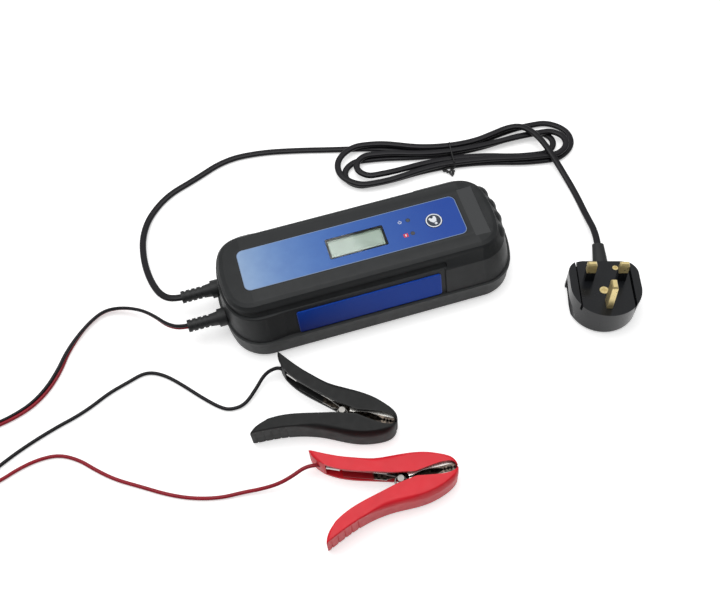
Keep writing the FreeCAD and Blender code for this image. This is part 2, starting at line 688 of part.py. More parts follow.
def top_shell():
    """Lid with leaning walls, a crowned deck, the badge panels, the shadow groove and the grip lobes."""
    walls = loft(
        "lid_walls",
        flange_outline("lid_foot", "seam_height", "flange_step"),
        edge_outline("lid_edge", "wall_top", "0"),
        lip_outline("lid_lip", "lip_height", "0"),
        lip_outline("lid_bend", "lip_height + 0.55 * (case_height - lip_height)", "1.7"),
        lip_outline("lid_shoulder", "case_height - 0.6", "4.6"),
        lip_outline("lid_deck", "case_height", "deck_crown"),
    )
    room = loft(
        "lid_hollow",
        flange_outline("room_foot", "seam_height", "flange_step + case_wall + 0.2"),
        edge_outline("room_edge", "wall_top", "case_wall + groove_depth"),
        lip_outline("room_lip", "wall_top + groove_rise + groove_width", "case_wall + 1"),
        lip_outline("room_roof", "case_height - label_recess - deck_thick", "case_wall + 3.3"),
    )
    pillars = [
        cylinder(f"lid_pillar_{n}", (x, y, "seam_height - 1"), "boss_radius", "case_height")
        for n, (x, y) in enumerate(four("boss_along", "boss_across"))
    ]
    posts = [
        cylinder(f"panel_post_{n}", (x, y, panel_board_top()), "post_radius - 0.5", "case_height")
        for n, (x, y) in enumerate(panel_posts())
    ]
    tools = [
        cut("lid_room", room, *pillars, *posts), shadow_groove(), badge_panel("panel_front", -1),
        badge_panel("panel_back", 1),
    ]
    for n, (x, y) in enumerate(four("boss_along", "boss_across")):
        tools.append(cylinder(
            f"lid_screw_hole_{n}", (x, y, "seam_height - 1"), "screw_radius + 0.02",
            "foot_height + head_depth + screw_length + 1.5 - seam_height",
        ))
    for n, (x, y) in enumerate(panel_posts()):
        tools.append(cylinder(
            f"lid_tack_hole_{n}", (x, y, panel_board_top()),
            "tack_radius + 0.02", "tack_length - board_thick",
        ))
    floor = "case_height - label_recess"
    tools.append(plate(
        "label_seat", ("label_offset", "0", floor), "label_length + 2 * fit_gap", "label_width + 2 * fit_gap",
        "label_corner + fit_gap", "label_recess + 1",
    ))
    tools.append(plate(
        "smooth_patch", ("patch_offset", "0", "case_height - patch_depth"), "patch_length", "patch_width",
        "window_corner", "patch_depth + 1",
    ))
    pane_low = "case_height - label_recess + film_thick - pane_thick"
    tools.append(plate(
        "pane_seat", ("window_offset", "window_across", pane_low), "window_length + 2 * fit_gap",
        "window_width + 2 * fit_gap", "window_corner + fit_gap", "pane_thick + 1",
    ))
    tools.append(block(
        "window_hole", ("window_offset", "window_across", "case_height - 10"),
        ("window_length - 2 * window_ledge", "window_width - 2 * window_ledge", "10"),
    ))
    tools.append(deck_hole("key_hole", ("key_offset", "key_across"), "key_radius + key_gap"))
    for n, side in enumerate((1, -1)):
        tools.append(deck_hole(
            f"lamp_hole_{n}", ("lamp_offset", f"{side} * lamp_pitch / 2"), "lamp_radius + fit_gap",
        ))
    return subpart(
        "top_shell",
        cut("lid_finished", fuse("lid_outside", walls, *grip_lobes()), *tools, *gland_holes("lid")),
    )


def panel_board_top():
    """Height of the display board's upper face."""
    return "case_height - label_recess - deck_thick - panel_board_gap"


def panel_posts():
    """The four places of the display board's screws."""
    places = four("(panel_board_length / 2 - 4)", "(panel_board_width / 2 - 3.5)")
    return [(f"panel_board_offset + {x}", y) for x, y in places]


# What goes on and into the shells


def case_seal():
    """Rubber seal in its groove round the seam, open at the glands."""
    seat = "seam_height - seal_height"
    ring = seal_ring("seal_whole", seat, "seal_inset", "seal_inset + seal_width")
    return subpart("case_seal", cut("seal_finished", ring, *gland_holes("seal")))


def screws(name, places, low, head_thick, head_radius, radius, length, upward):
    """Screws with a round head; upward ones have the head at the bottom."""
    pieces = []
    for n, (x, y) in enumerate(places):
        shank_low = f"{low} + {head_thick}" if upward else f"{low} - ({length})"
        pieces.append(fuse(
            f"{name}_{n}",
            cylinder(f"{name}_head_{n}", (x, y, low), head_radius, head_thick),
            cylinder(f"{name}_shank_{n}", (x, y, shank_low), radius, length),
        ))
    return subpart(name, group(name + "_set", *pieces))


def fasteners():
    """Four long screws close the case; small ones hold the two boards."""
    screws(
        "case_screws", four("boss_along", "boss_across"), "foot_height + head_depth - screw_head_thick",
        "screw_head_thick", "screw_head", "screw_radius", "screw_length", upward=True,
    )
    screws(
        "board_screws", four("post_along", "post_across"), "board_height + board_thick",
        "tack_head_thick", "tack_head", "tack_radius", "tack_length", upward=False,
    )
    low = f"{panel_board_top()} - board_thick - tack_head_thick"
    screws(
        "display_board_screws", panel_posts(), low,
        "tack_head_thick", "tack_head", "tack_radius", "tack_length - 1", upward=True,
    )


def rubber_feet():
    """Four round feet in their recesses."""
    feet = [
        cylinder(f"foot_{n}", (x, y, "0"), "foot_radius", "foot_height + foot_seat")
        for n, (x, y) in enumerate(four("foot_along", "foot_across"))
    ]
    subpart("rubber_feet", group("feet_set", *feet))


def label_and_display():
    """Label film with its openings, the clear window, the display under it and the side badge."""
    floor = "case_height - label_recess"
    film = plate(
        "film_sheet", ("label_offset", "0", floor), "label_length", "label_width", "label_corner",
        "film_thick",
    )
    openings = [
        plate(
            "film_window", ("window_offset", "window_across", f"{floor} - 1"), "window_length + 2 * fit_gap",
            "window_width + 2 * fit_gap", "window_corner + fit_gap", "3",
        ),
        deck_hole("film_key_hole", ("key_offset", "key_across"), "key_radius + key_gap"),
    ]
    for n, side in enumerate((1, -1)):
        place = ("lamp_offset", f"{side} * lamp_pitch / 2")
        openings.append(deck_hole(f"film_lamp_hole_{n}", place, "lamp_radius + fit_gap"))
    subpart("label_film", cut("film_finished", film, *openings))
    subpart("display_window", plate(
        "pane", ("window_offset", "window_across", f"{floor} + film_thick - pane_thick"), "window_length",
        "window_width", "window_corner", "pane_thick",
    ))
    badge = plate("badge", ("0", "0", "0"), "badge_length", "badge_height", "badge_corner", "badge_thick")
    wall = wall_frame(-1)
    up_wall = value("badge_foot + badge_height / 2")
    middle = wall.multVec(Vector(-value("badge_offset"), -value("panel_depth"), up_wall))
    for path in ("Placement.Base.x", "Placement.Base.y", "Placement.Base.z"):
        badge.setExpression(path, None)
    badge.Placement = Placement(middle, Rotation(ALONG, 90 - lean_angle()))
    subpart("side_badge", badge)


def controls():
    """The mode button, its push switch and the two lamps."""
    roof = "case_height - label_recess - deck_thick"
    board = panel_board_top()
    place = ("key_offset", "key_across")
    switch_top = f"{board} + switch_height"
    low = f"{switch_top} + key_travel + key_float"
    cap = cylinder(
        "key_cap", (*place, low), "key_radius",
        f"case_height - label_recess + film_thick + key_proud - ({low})",
    )
    brim = cylinder("key_brim", (*place, low), "key_radius + key_flange", f"{roof} - key_float - ({low})")
    subpart("mode_button", fuse("key", cap, brim))
    body = block("switch_body", (*place, board), ("switch_side", "switch_side", "switch_height - 1"))
    plunger = cylinder("switch_plunger", (*place, board), "plunger_radius", "switch_height")
    subpart("button_switch", fuse("switch", body, plunger))
    for name, side in (("power_lamp", 1), ("fault_lamp", -1)):
        spot = ("lamp_offset", f"{side} * lamp_pitch / 2", board)
        lens = cylinder(
            name + "_lens", spot, "lamp_radius", f"case_height - label_recess + film_thick - ({board})",
        )
        base = cylinder(name + "_base", spot, "lamp_radius + 0.4", "1")
        subpart(name, fuse(name + "_whole", lens, base))
    subpart("lcd_module", block(
        "lcd", ("window_offset", "window_across", board),
        ("lcd_length", "lcd_width", "panel_board_gap - key_float"),
    ))


def boards():
    """The main board on its posts and the display board under the deck, each with its screw holes."""
    main = plate(
        "main_sheet", ("0", "0", "board_height"), "board_length", "board_width", "board_corner",
        "board_thick",
    )
    holes = [
        cylinder(f"main_hole_{n}", (x, y, "board_height - 1"), "tack_radius + screw_gap", "5")
        for n, (x, y) in enumerate(four("post_along", "post_across"))
    ]
    subpart("main_board", cut("main_finished", main, *holes))
    low = f"{panel_board_top()} - board_thick"
    panel = plate(
        "panel_sheet", ("panel_board_offset", "0", low), "panel_board_length", "panel_board_width",
        "board_corner", "board_thick",
    )
    holes = [
        cylinder(f"panel_hole_{n}", (x, y, f"{low} - 1"), "tack_radius + screw_gap", "5")
        for n, (x, y) in enumerate(panel_posts())
    ]
    subpart("display_board", cut("panel_finished", panel, *holes))


def power_parts():
    """What stands on the main board: transformer, capacitors, choke, heat sink, transistors and chip."""
    deck = "board_height + board_thick"
    inner = ("core_length - 2 * core_leg", "core_width + 2", "core_height - 2 * core_leg")
    frame = cut(
        "core_frame",
        block("core_block", ("core_offset", "0", deck), ("core_length", "core_width", "core_height")),
        block("core_window", ("core_offset", "0", f"{deck} + core_leg"), inner),
    )
    leg = cylinder(
        "core_middle_leg", ("core_offset", "0", f"{deck} + core_leg"), "core_leg",
        "core_height - 2 * core_leg",
    )
    subpart("transformer_core", fuse("core", frame, leg))
    low, height = f"{deck} + core_leg + winding_gap", "core_height - 2 * core_leg - 2 * winding_gap"
    subpart("transformer_winding", cut(
        "winding",
        cylinder(
            "winding_outside", ("core_offset", "0", low), "core_length / 2 - core_leg - winding_gap", height,
        ),
        cylinder("winding_bore", ("core_offset", "0", low), "core_leg + winding_gap", height),
    ))
    subpart(
        "bulk_capacitor",
        cylinder("bulk", ("bulk_offset", "bulk_across", deck), "bulk_radius", "bulk_height"),
    )
    cans = [
        cylinder(
            f"output_{n}", ("output_offset", f"{n - 1} * output_pitch", deck), "output_radius",
            "output_height",
        )
        for n in range(3)
    ]
    subpart("output_capacitors", group("output_set", *cans))
    ring = doc.addObject("Part::Torus", "choke")
    bind(ring, {"Radius1": "choke_radius", "Radius2": "choke_wire"})
    bind(ring, at("choke_offset", "choke_across", f"{deck} + choke_wire"))
    subpart("filter_choke", ring)
    back = block(
        "sink_plate", ("sink_offset", "sink_across", deck), ("sink_length", "sink_plate", "sink_height"),
    )
    count = int(value("fin_count"))
    fins = []
    for n in range(count):
        along = f"sink_offset - sink_length / 2 + {n} * (sink_length - fin_thick) / (fin_count - 1)"
        fins.append(box(f"fin_{n}", (along, "sink_across", deck), ("fin_thick", "sink_fin", "sink_height")))
    subpart("heat_sink", fuse("sink", back, *fins))
    packages = [
        block(
            f"package_{n}",
            (
                f"sink_offset + {side} * package_pitch / 2",
                "sink_across - sink_plate / 2 - package_thick / 2", deck,
            ),
            ("package_length", "package_thick", "package_height"),
        )
        for n, side in enumerate((-1, 1))
    ]
    subpart("power_transistors", group("package_set", *packages))
    subpart("controller_chip", block(
        "chip", ("chip_offset", "chip_across", deck), ("chip_side", "chip_side", "chip_thick"),
    ))


def cable_gland(name, side, cord_radius):
    """Strain relief with an inner stop, a neck in the wall, an outer collar and a banded, bored sleeve."""
    outward = Rotation(ACROSS, -90)
    across = f"{side} * gland_across"
    seat = "-case_left + gland_seat"
    collar_end = f"{seat} - gland_collar_length"
    tip = "-case_left - gland_reach"
    bands_end = f"{tip} + 4 * band_pitch"
    stop = cylinder(
        name + "_stop", ("-case_left + 9", across, "seam_height"), "gland_neck + 0.9", "2.2", outward,
    )
    neck = cylinder(
        name + "_neck", ("-case_left + 8", across, "seam_height"), "gland_neck", "8 - gland_seat + 1",
        outward,
    )
    collar = cylinder(
        name + "_collar", (seat, across, "seam_height"), "gland_collar", "gland_collar_length", outward,
    )
    sleeve = doc.addObject("Part::Cone", name + "_sleeve")
    sleeve.Placement = Placement(Vector(), outward)
    bind(sleeve, {
        "Radius1": "gland_root", "Radius2": "gland_tip", "Height": f"({collar_end}) - ({bands_end})",
        **at(collar_end, across, "seam_height"),
    })
    core = cylinder(
        name + "_core", (f"{bands_end} + 1", across, "seam_height"), "band_core", "4 * band_pitch + 1",
        outward,
    )
    bands = []
    for n in range(4):
        bands.append(cylinder(
            f"{name}_band_{n}", (f"{tip} + {n} * band_pitch + band_width", across, "seam_height"),
            "band_radius", "band_width", outward,
        ))
    bore = cylinder(
        name + "_bore", (f"{tip} + cord_depth", across, "seam_height"), f"{cord_radius} + cord_fit",
        "cord_depth + 1", outward,
    )
    whole = fuse(name + "_whole", stop, neck, collar, sleeve, core, *bands)
    subpart(name, cut(name + "_finished", whole, bore))


# The mains plug, built in its own frame: X along the two thin pins, Y towards the cord, Z up


def plug_place():
    """Where the plug lies."""
    return Placement(Vector(value("plug_along"), value("plug_across"), 0), Rotation(UP, value("plug_turn")))


def face_place(x, y, z):
    """A place measured from the plug's sloping face, between the two thin pins."""
    face = Placement(Vector(0, 0, value("plug_face")), Rotation(ALONG, -value("plug_tilt")))
    return face.multiply(Placement(Vector(x, y, z), Rotation()))


def face_block(name, x, y, z, sides):
    """A box square to the plug's face, from the middle of its underside."""
    feature = doc.addObject("Part::Box", name)
    length, width, height = sides
    bind(feature, {"Length": length, "Width": width, "Height": height})
    feature.Placement = face_place(value(x) - value(length) / 2, value(y) - value(width) / 2, value(z))
    return feature


def face_cylinder(name, x, y, z, radius, height):
    """A cylinder square to the plug's face."""
    feature = doc.addObject("Part::Cylinder", name)
    bind(feature, {"Radius": radius, "Height": height})
    feature.Placement = face_place(value(x), value(y), value(z))
    return feature


def plug_outline(name, height, inset):
    """The plug seen from above: one round end, straight sides and a flat end with round corners."""
    sketch = doc.addObject("Sketcher::SketchObject", name)
    bind(sketch, {"Placement.Base.z": height})
    big, small = value(f"plug_radius - ({inset})"), value(f"plug_corner - ({inset})")
    back, far = value("plug_round_back"), value(f"plug_far - ({inset})")
    sketch.addGeometry([
        arc(0, -back, big, 180, 360),
        Part.LineSegment(Vector(big, -back, 0), Vector(big, far - small, 0)),
        arc(big - small, far - small, small, 0, 90),
        Part.LineSegment(Vector(big - small, far, 0), Vector(small - big, far, 0)),
        arc(small - big, far - small, small, 90, 180),
        Part.LineSegment(Vector(-big, far - small, 0), Vector(-big, -back, 0)),
    ], False)
    join_round(sketch)
    hold(sketch, "Vertical", (1,), (5,))
    hold(sketch, "Horizontal", (3,))
    hold(sketch, "Equal", (2, 4))
    hold(sketch, "PointOnObject", (0, 3, -2))
    drive(sketch, "Radius", (0,), big, f"plug_radius - ({inset})")
    drive(sketch, "Radius", (2,), small, f"plug_corner - ({inset})")
    drive(sketch, "DistanceY", (0, 3, -1, 1), back, "plug_round_back")
    drive(sketch, "DistanceY", (-1, 1, 3, 1), far, f"plug_far - ({inset})")
    return sketch


def plug_part(name, feature):
    """Moves a finished piece of the plug from the plug's frame to where it lies."""
    feature.Placement = plug_place().multiply(feature.Placement)
    return subpart(name, feature)


def pin_places():
    """The three pins: name, place, section and length out of the base."""
    return (
        ("live_pin", "pin_spread", "0", ("pin_width", "pin_thick"), "pin_length"),
        ("neutral_pin", "-pin_spread", "0", ("pin_width", "pin_thick"), "pin_length"),
        ("earth_pin", "0", "-earth_back", ("earth_width", "earth_thick"), "earth_length"),
    )


def pin_core(wide, thick, gap):
    """Sides of a thin pin inside its insulating sleeve, with a clearance."""
    thinner = f"- 2 * pin_sleeve_wall + 2 * ({gap})"
    return f"{wide} {thinner}", f"{thick} {thinner}"


def plug_pins():
    """Brass pins with bevelled tips and terminal blocks, and the sleeves of the two thin ones."""
    underside = "-(base_recess + base_thick)"
    sleeves = []
    for name, x, y, (wide, thick), length in pin_places():
        sleeved = name != "earth_pin"
        root_wide, root_thick = pin_core(wide, thick, "0") if sleeved else (wide, thick)
        collar = "pin_sleeve" if sleeved else "0"
        root = face_block(
            name + "_root", x, y, underside, (root_wide, root_thick, f"base_thick + {collar} + 0.5"),
        )
        blade = face_block(
            name + "_blade", x, y, f"-base_recess + {collar}",
            (wide, thick, f"{length} - pin_bevel - {collar}"),
        )
        tip = doc.addObject("Part::Wedge", name + "_tip")
        half_wide, half_thick = value(wide) / 2, value(thick) / 2
        bind(tip, {
            "Xmin": f"-({wide}) / 2", "Xmax": f"({wide}) / 2", "Zmin": f"-({thick}) / 2",
            "Zmax": f"({thick}) / 2",
            "X2min": f"-({wide}) / 2 + 0.7", "X2max": f"({wide}) / 2 - 0.7",
            "Z2min": f"-({thick}) / 2 + 0.9", "Z2max": f"({thick}) / 2 - 0.9",
            "Ymin": "0", "Ymax": "pin_bevel",
        })
        top = value(f"-base_recess + {length} - pin_bevel")
        tip.Placement = face_place(value(x), value(y), top).multiply(Placement(Vector(), Rotation(ALONG, 90)))
        foot = face_block(
            name + "_terminal", x, y, f"{underside} - terminal_height",
            ("terminal_side", "terminal_side", "terminal_height"),
        )
        plug_part(name, fuse(name + "_whole", root, blade, tip, foot))
        if sleeved:
            outer = face_block(name + "_sleeve_outer", x, y, "-base_recess", (wide, thick, "pin_sleeve"))
            inner = face_block(
                name + "_sleeve_inner", x, y, "-base_recess - 1", (root_wide, root_thick, "pin_sleeve + 2"),
            )
            sleeves.append(cut(name + "_sleeve", outer, inner))
    plug_part("pin_sleeves", group("sleeve_pair", *sleeves))


def plug_screw_places():
    """The cover screw and the cord grip screw on the plug's face: place, head radius and length."""
    return (
        ("cover_screw_along", "-cover_screw_back", "cover_screw_radius", "base_thick + hollow_depth + 1"),
        ("grip_screw_along", "grip_screw_far", "grip_screw_radius", "base_thick + 3"),
    )


def plug_shells():
    """The plug's cover with its finger scoops, the base that carries the pins, and the two screws."""
    def body(name, inset):
        return loft(
            name,
            plug_outline(name + "_back", "0", f"{inset} + plug_round"),
            plug_outline(name + "_bend", "0.3 * plug_round", f"{inset} + 0.3 * plug_round"),
            plug_outline(name + "_side", "plug_round", inset),
            plug_outline(name + "_top", "plug_face + 10", inset),
        )
    span = "4 * plug_radius"
    above = face_block("plug_above", "0", "0", "0", (span, span, "30"))
    trough = face_block(
        "plug_trough", "0", "0", "-(base_recess + base_thick)",
        ("base_width + 2 * fit_gap", span, "base_thick + 5"),
    )
    floor = "-(base_recess + base_thick + hollow_depth)"
    room = face_block("plug_room", "0", "-5.5", floor, ("34", "27", "hollow_depth + 1"))
    pillar = face_cylinder(
        "cover_screw_pillar", "cover_screw_along", "-cover_screw_back", floor, "screw_radius + 1.2",
        "hollow_depth",
    )
    pocket = face_block("earth_pocket", "0", "-22", floor, ("14", "12", "hollow_depth + 1"))
    tools = [above, trough, cut("plug_hollow", room, pillar), pocket, cord_sleeve("sleeve_hole", "fit_gap")]
    for n, side in enumerate((1, -1)):
        along = f"{side} * (plug_radius - scoop_depth + scoop_radius)"
        tools.append(cylinder(
            f"scoop_{n}", (along, "-2 * plug_radius", "scoop_height"), "scoop_radius", "2 * plug_radius + 5",
            Rotation(ALONG, -90),
        ))
    screws_low = "-(base_recess + 1.2)"
    shafts, heads, holes = [], [], []
    for n, (x, y, radius, length) in enumerate(plug_screw_places()):
        low = f"-base_recess - ({length})"
        head = face_cylinder(f"plug_screw_head_{n}", x, y, screws_low, radius, "1.2")
        shank = face_cylinder(f"plug_screw_shank_{n}", x, y, low, "screw_radius", length)
        crosses = [
            face_block(f"plug_screw_cross_{n}_{m}", x, y, "-base_recess - cross_depth", (*sides, "1"))
            for m, sides in enumerate(
                (("cross_width", f"1.3 * {radius}"), (f"1.3 * {radius}", "cross_width")),
            )
        ]
        heads.append(cut(f"plug_screw_crossed_{n}", fuse(f"plug_screw_{n}", head, shank), *crosses))
        holes.append(face_cylinder(f"plug_head_hole_{n}", x, y, screws_low, f"{radius} + fit_gap", "5"))
        shafts.append(face_cylinder(f"plug_shank_hole_{n}", x, y, low, "screw_radius + cord_fit", "25"))
    base = common("plug_plate", body("plug_inner", "0"), face_block(
        "plug_slice", "0", "0", "-(base_recess + base_thick)",
        ("base_width - 2 * base_gap", span, "base_thick"),
    ))
    for name, x, y, (wide, thick), _ in pin_places():
        if name != "earth_pin":
            wide, thick = pin_core(wide, thick, "0.05")
        else:
            wide, thick = f"{wide} + 0.1", f"{thick} + 0.1"
        holes.append(face_block(name + "_slot", x, y, "-(base_recess + base_thick) - 1", (wide, thick, "10")))
    plug_part("plug_cover", cut("cover_finished", body("plug_outer", "0"), *tools, *shafts))
    plug_part("plug_base", cut("base_finished", base, *holes, *shafts))
    plug_part("plug_screws", group("plug_screw_pair", *heads))
    fuse_top = "-(base_recess + base_thick) - 0.3"
    feature = cylinder("fuse_body", ("0", "0", "0"), "fuse_radius", "fuse_length", Rotation(ALONG, -90))
    for path in ("Placement.Base.x", "Placement.Base.y", "Placement.Base.z"):
        feature.setExpression(path, None)
    start = face_place(
        value("fuse_along"), -value("fuse_length / 2 + 5.5"), value(f"{fuse_top} - fuse_radius"),
    )
    feature.Placement = start.multiply(Placement(Vector(), Rotation(ALONG, -90)))
    plug_part("plug_fuse", feature)


def sleeve_with_bore():
    """The cord sleeve, bored for the cord's end."""
    end = "plug_far + sleeve_length"
    bore = cylinder(
        "sleeve_bore_hole", ("sleeve_offset", f"{end} - sleeve_bore", "sleeve_height"),
        "mains_radius + cord_fit",
        "sleeve_bore + 1", Rotation(ALONG, -90),
    )
    return plug_part("cord_sleeve", cut("sleeve_finished", cord_sleeve("sleeve", "0"), bore))


def oval(name, wide, thick, along):
    """An upright oval across the cord sleeve, at a distance towards the cord."""
    feature = doc.addObject("Part::Ellipse", name)
    feature.Placement = Placement(Vector(), Rotation(ALONG, 90))
    bind(feature, {"MajorRadius": f"({wide}) / 2", "MinorRadius": f"({thick}) / 2"})
    return bind(feature, at("sleeve_offset", along, "sleeve_height"))


def cord_sleeve(name, gap):
    """Flat tapered sleeve that leads the cord out of the plug, grown by a clearance on every side."""
    root, end = "plug_far - 3", "plug_far + sleeve_length"
    if gap != "0":
        root, end = f"{root} - 1", f"{end} + 5"
    return loft(
        name,
        oval(name + "_root", f"sleeve_root_width + 2 * {gap}", f"sleeve_root_thick + 2 * {gap}", root),
        oval(
            name + "_wall", f"sleeve_root_width + 2 * {gap}", f"sleeve_root_thick + 2 * {gap}",
            "plug_far + 1",
        ),
        oval(name + "_tip", f"sleeve_tip_width + 2 * {gap}", f"sleeve_tip_thick + 2 * {gap}", end),
    )


# The battery clamps, built with the jaw tip at the origin, the handles at -X and the clamp lying on its side


def clamp_point(along, across):
    """A point of a clamp's outline."""
    return Vector(-along, across, 0)


def back_line(inset):
    """The curved back of a half, from the end of the handle to the jaw tip, drawn in by a distance."""
    length, spread, pivot = value("clamp_length"), value("clamp_spread"), value("clamp_pivot")
    waist, nose = value("clamp_waist"), value("clamp_nose")
    points = [
        clamp_point(length, spread - inset),
        clamp_point(pivot + 0.6 * (length - pivot), waist + 0.35 * (spread - waist) - 0.6 - inset),
        clamp_point(pivot + 7.5, waist - inset),
        clamp_point(0.66 * pivot, waist - 0.6 - inset),
        clamp_point(9.1 + 0.7 * inset, nose - 0.7 * inset),
        clamp_point(0.7 * inset, 1.6),
    ]
    curve = Part.BSplineCurve()
    curve.interpolate(points)
    return curve.toShape(), points


def closed_face(*edges):
    """A flat face inside edges that meet end to end."""
    return Part.Face(Part.Wire(Part.__sortEdges__(list(edges))))


def through(*points):
    """A smooth edge through points."""
    curve = Part.BSplineCurve()
    curve.interpolate(list(points))
    return curve.toShape()


def lines(*points):
    """Straight edges through points."""
    return [Part.makeLine(a, b) for a, b in zip(points, points[1:])]


def slab(face, low, high):
    """A flat face made into a solid between two heights."""
    face = face.copy()
    face.translate(UP * low)
    return face.extrude(UP * (high - low))


def grip_shape():
    """Plastic grip of the half on the +Y side: a channel, open towards the other half."""
    length, pivot, width = value("clamp_length"), value("clamp_pivot"), value("clamp_width")
    wall, spread = value("grip_wall"), value("clamp_spread")
    back, points = back_line(0)
    handle = through(
        clamp_point(length - 7, spread - 11.5), clamp_point(length - 13.5, spread - 15.5),
        clamp_point(pivot + 16, 6.7), clamp_point(pivot + 4, 2.9),
    )
    mouth = through(
        clamp_point(pivot - 10, 0.8), clamp_point(0.42 * pivot, value("mouth_bow")), clamp_point(4, 1.0),
    )
    edges = [
        back, handle, mouth,
        *lines(points[0], clamp_point(length - 0.8, spread - 4.5), clamp_point(length - 7, spread - 11.5)),
        *lines(clamp_point(pivot + 4, 2.9), clamp_point(pivot - 10, 0.8)),
        *lines(clamp_point(4, 1.0), clamp_point(0.5, 0.4), points[-1]),
    ]
    solid = slab(closed_face(*edges), 0, width)
    backs = [edge for edge in solid.Edges if edge.Length > length and abs(edge.BoundBox.ZLength) < 0.01]
    solid = solid.makeFillet(value("grip_round"), backs)
    inner, inner_points = back_line(wall)
    channel = closed_face(
        inner,
        *lines(
            inner_points[-1], inner_points[-1] + Vector(0, -6, 0), clamp_point(length, -6),
            clamp_point(length + 4, spread - wall), inner_points[0],
        ),
    )
    return solid.cut(slab(channel, wall, width - wall))


def jaw_shape(depth):
    """Sheet steel jaw of the half on the +Y side: cheeks with ears for the pivot pin, joined by a back."""
    pivot, wall, gap = value("clamp_pivot"), value("jaw_wall"), value("jaw_gap")
    low, high = depth, value("clamp_width") - depth
    inset = value("grip_wall + jaw_seat")
    outer, points = back_line(inset)
    end = pivot + 0.65 * (value("clamp_length") - pivot)
    nose, handle = points[-1], points[0]
    area = closed_face(outer, *lines(nose, Vector(nose.x, -30, 0), Vector(handle.x, -30, 0), handle))
    teeth_end = TOOTH_COUNT * value("tooth_pitch") + 1
    mouth = through(
        clamp_point(teeth_end, gap), clamp_point(0.45 * pivot, value("mouth_bow") - 0.7),
        clamp_point(pivot - 8, gap + 0.4),
    )
    cheek = closed_face(mouth, *lines(
        clamp_point(pivot - 8, gap + 0.4), clamp_point(pivot - 3, gap), clamp_point(pivot + 4, 3.6),
        clamp_point(end, 13.5), clamp_point(end, 40), clamp_point(0, 40), clamp_point(0, gap),
        clamp_point(teeth_end, gap),
    ))
    ear = Part.Face(Part.Wire(Part.makeCircle(value("ear_radius"), clamp_point(pivot, 0))))
    radius, reach = value("ear_radius"), value("ear_reach")
    tab = Part.Face(Part.makePolygon([
        clamp_point(pivot - 1, radius - 0.4), clamp_point(pivot + reach - 1.5, radius),
        clamp_point(pivot + reach, -0.7 * radius),
        clamp_point(pivot + 2, -0.9 * radius), clamp_point(pivot - 1, radius - 0.4),
    ]))
    profile = area.common(cheek.fuse([ear, tab]).removeSplitter())
    solid = slab(profile.Faces[0], low, high)
    inner, inner_points = back_line(inset + wall)
    room = closed_face(
        inner,
        *lines(
            inner_points[-1], inner_points[-1] + Vector(0, -30, 0),
            clamp_point(value("clamp_length") + 5, -30),
            inner_points[0] + Vector(-5, 0, 0), inner_points[0],
        ),
    )
    solid = solid.cut(slab(room, low + wall, high - wall))
    for n in range(TOOTH_COUNT):
        start = 1.4 + n * value("tooth_pitch")
        tooth = Part.Face(Part.makePolygon([
            clamp_point(start, -1), clamp_point(start, gap),
            clamp_point(start + 1.1, gap + value("tooth_depth")),
            clamp_point(start + 1.6, gap), clamp_point(start + 1.6, -1), clamp_point(start, -1),
        ]))
        solid = solid.cut(slab(tooth, -1, value("clamp_width") + 1))
    bore = Part.makeCylinder(value("rivet_radius + rivet_gap"), 40, clamp_point(pivot, 0) - UP)
    return solid.cut(bore)


def pivot_shape():
    """Pivot pin with a flat head at each end."""
    head, thick = value("rivet_head"), value("rivet_head_thick")
    low = value("grip_wall + jaw_inset") - thick - 0.05
    high = value("clamp_width") - low
    middle = clamp_point(value("clamp_pivot"), 0)
    pin = Part.makeCylinder(value("rivet_radius"), high - low, middle + UP * low)
    ends = [Part.makeCylinder(head, thick, middle + UP * base) for base in (low, high - thick)]
    return pin.multiFuse(ends).removeSplitter()


def spring_nodes():
    """The spring's path as points with directions: a leg, the turns round the pin, and the other leg."""
    radius, leg = value("spring_radius"), value("spring_leg")
    middle = clamp_point(value("clamp_pivot"), 0)
    turns, width = int(value("spring_turns")), value("clamp_width")
    rise = value("2.9 * spring_wire")
    end = Vector(-leg, value("clamp_waist - grip_wall - jaw_seat - jaw_wall - spring_wire"), 0)
    reach = math.hypot(end.x, end.y)
    heading = math.atan2(-end.y, -end.x) + math.asin(radius / reach)
    start_angle = heading + math.pi / 2
    sweep = 2 * (start_angle) + 2 * math.pi * (turns - 1)
    total = rise * sweep / (2 * math.pi)
    low = (width - total) / 2
    steps = math.ceil(sweep / (math.pi / 2))
    nodes = [(middle + end + UP * low, Vector(math.cos(heading), math.sin(heading), 0))]
    for n in range(steps + 1):
        angle = start_angle - n * sweep / steps
        spot = Vector(radius * math.cos(angle), radius * math.sin(angle), low + total * n / steps)
        nodes.append((middle + spot, Vector(math.sin(angle), -math.cos(angle), 0)))
    nodes.append((middle + Vector(end.x, -end.y, low + total), nodes[-1][1]))
    return nodes


def crimp_way():
    """Direction of the crimp inside the handle."""
    return Vector(0.925, -0.38, 0)


def crimp_line():
    """The crimp's two ends: where the lead enters it, and its front."""
    rise = value("grip_wall + crimp_radius") + 0.3
    length, spread = value("clamp_length"), value("clamp_spread")
    mouth = Vector(9.5 - length, spread - 5.5 - rise, value("clamp_width / 2"))
    return mouth, mouth + crimp_way() * value("crimp_length")


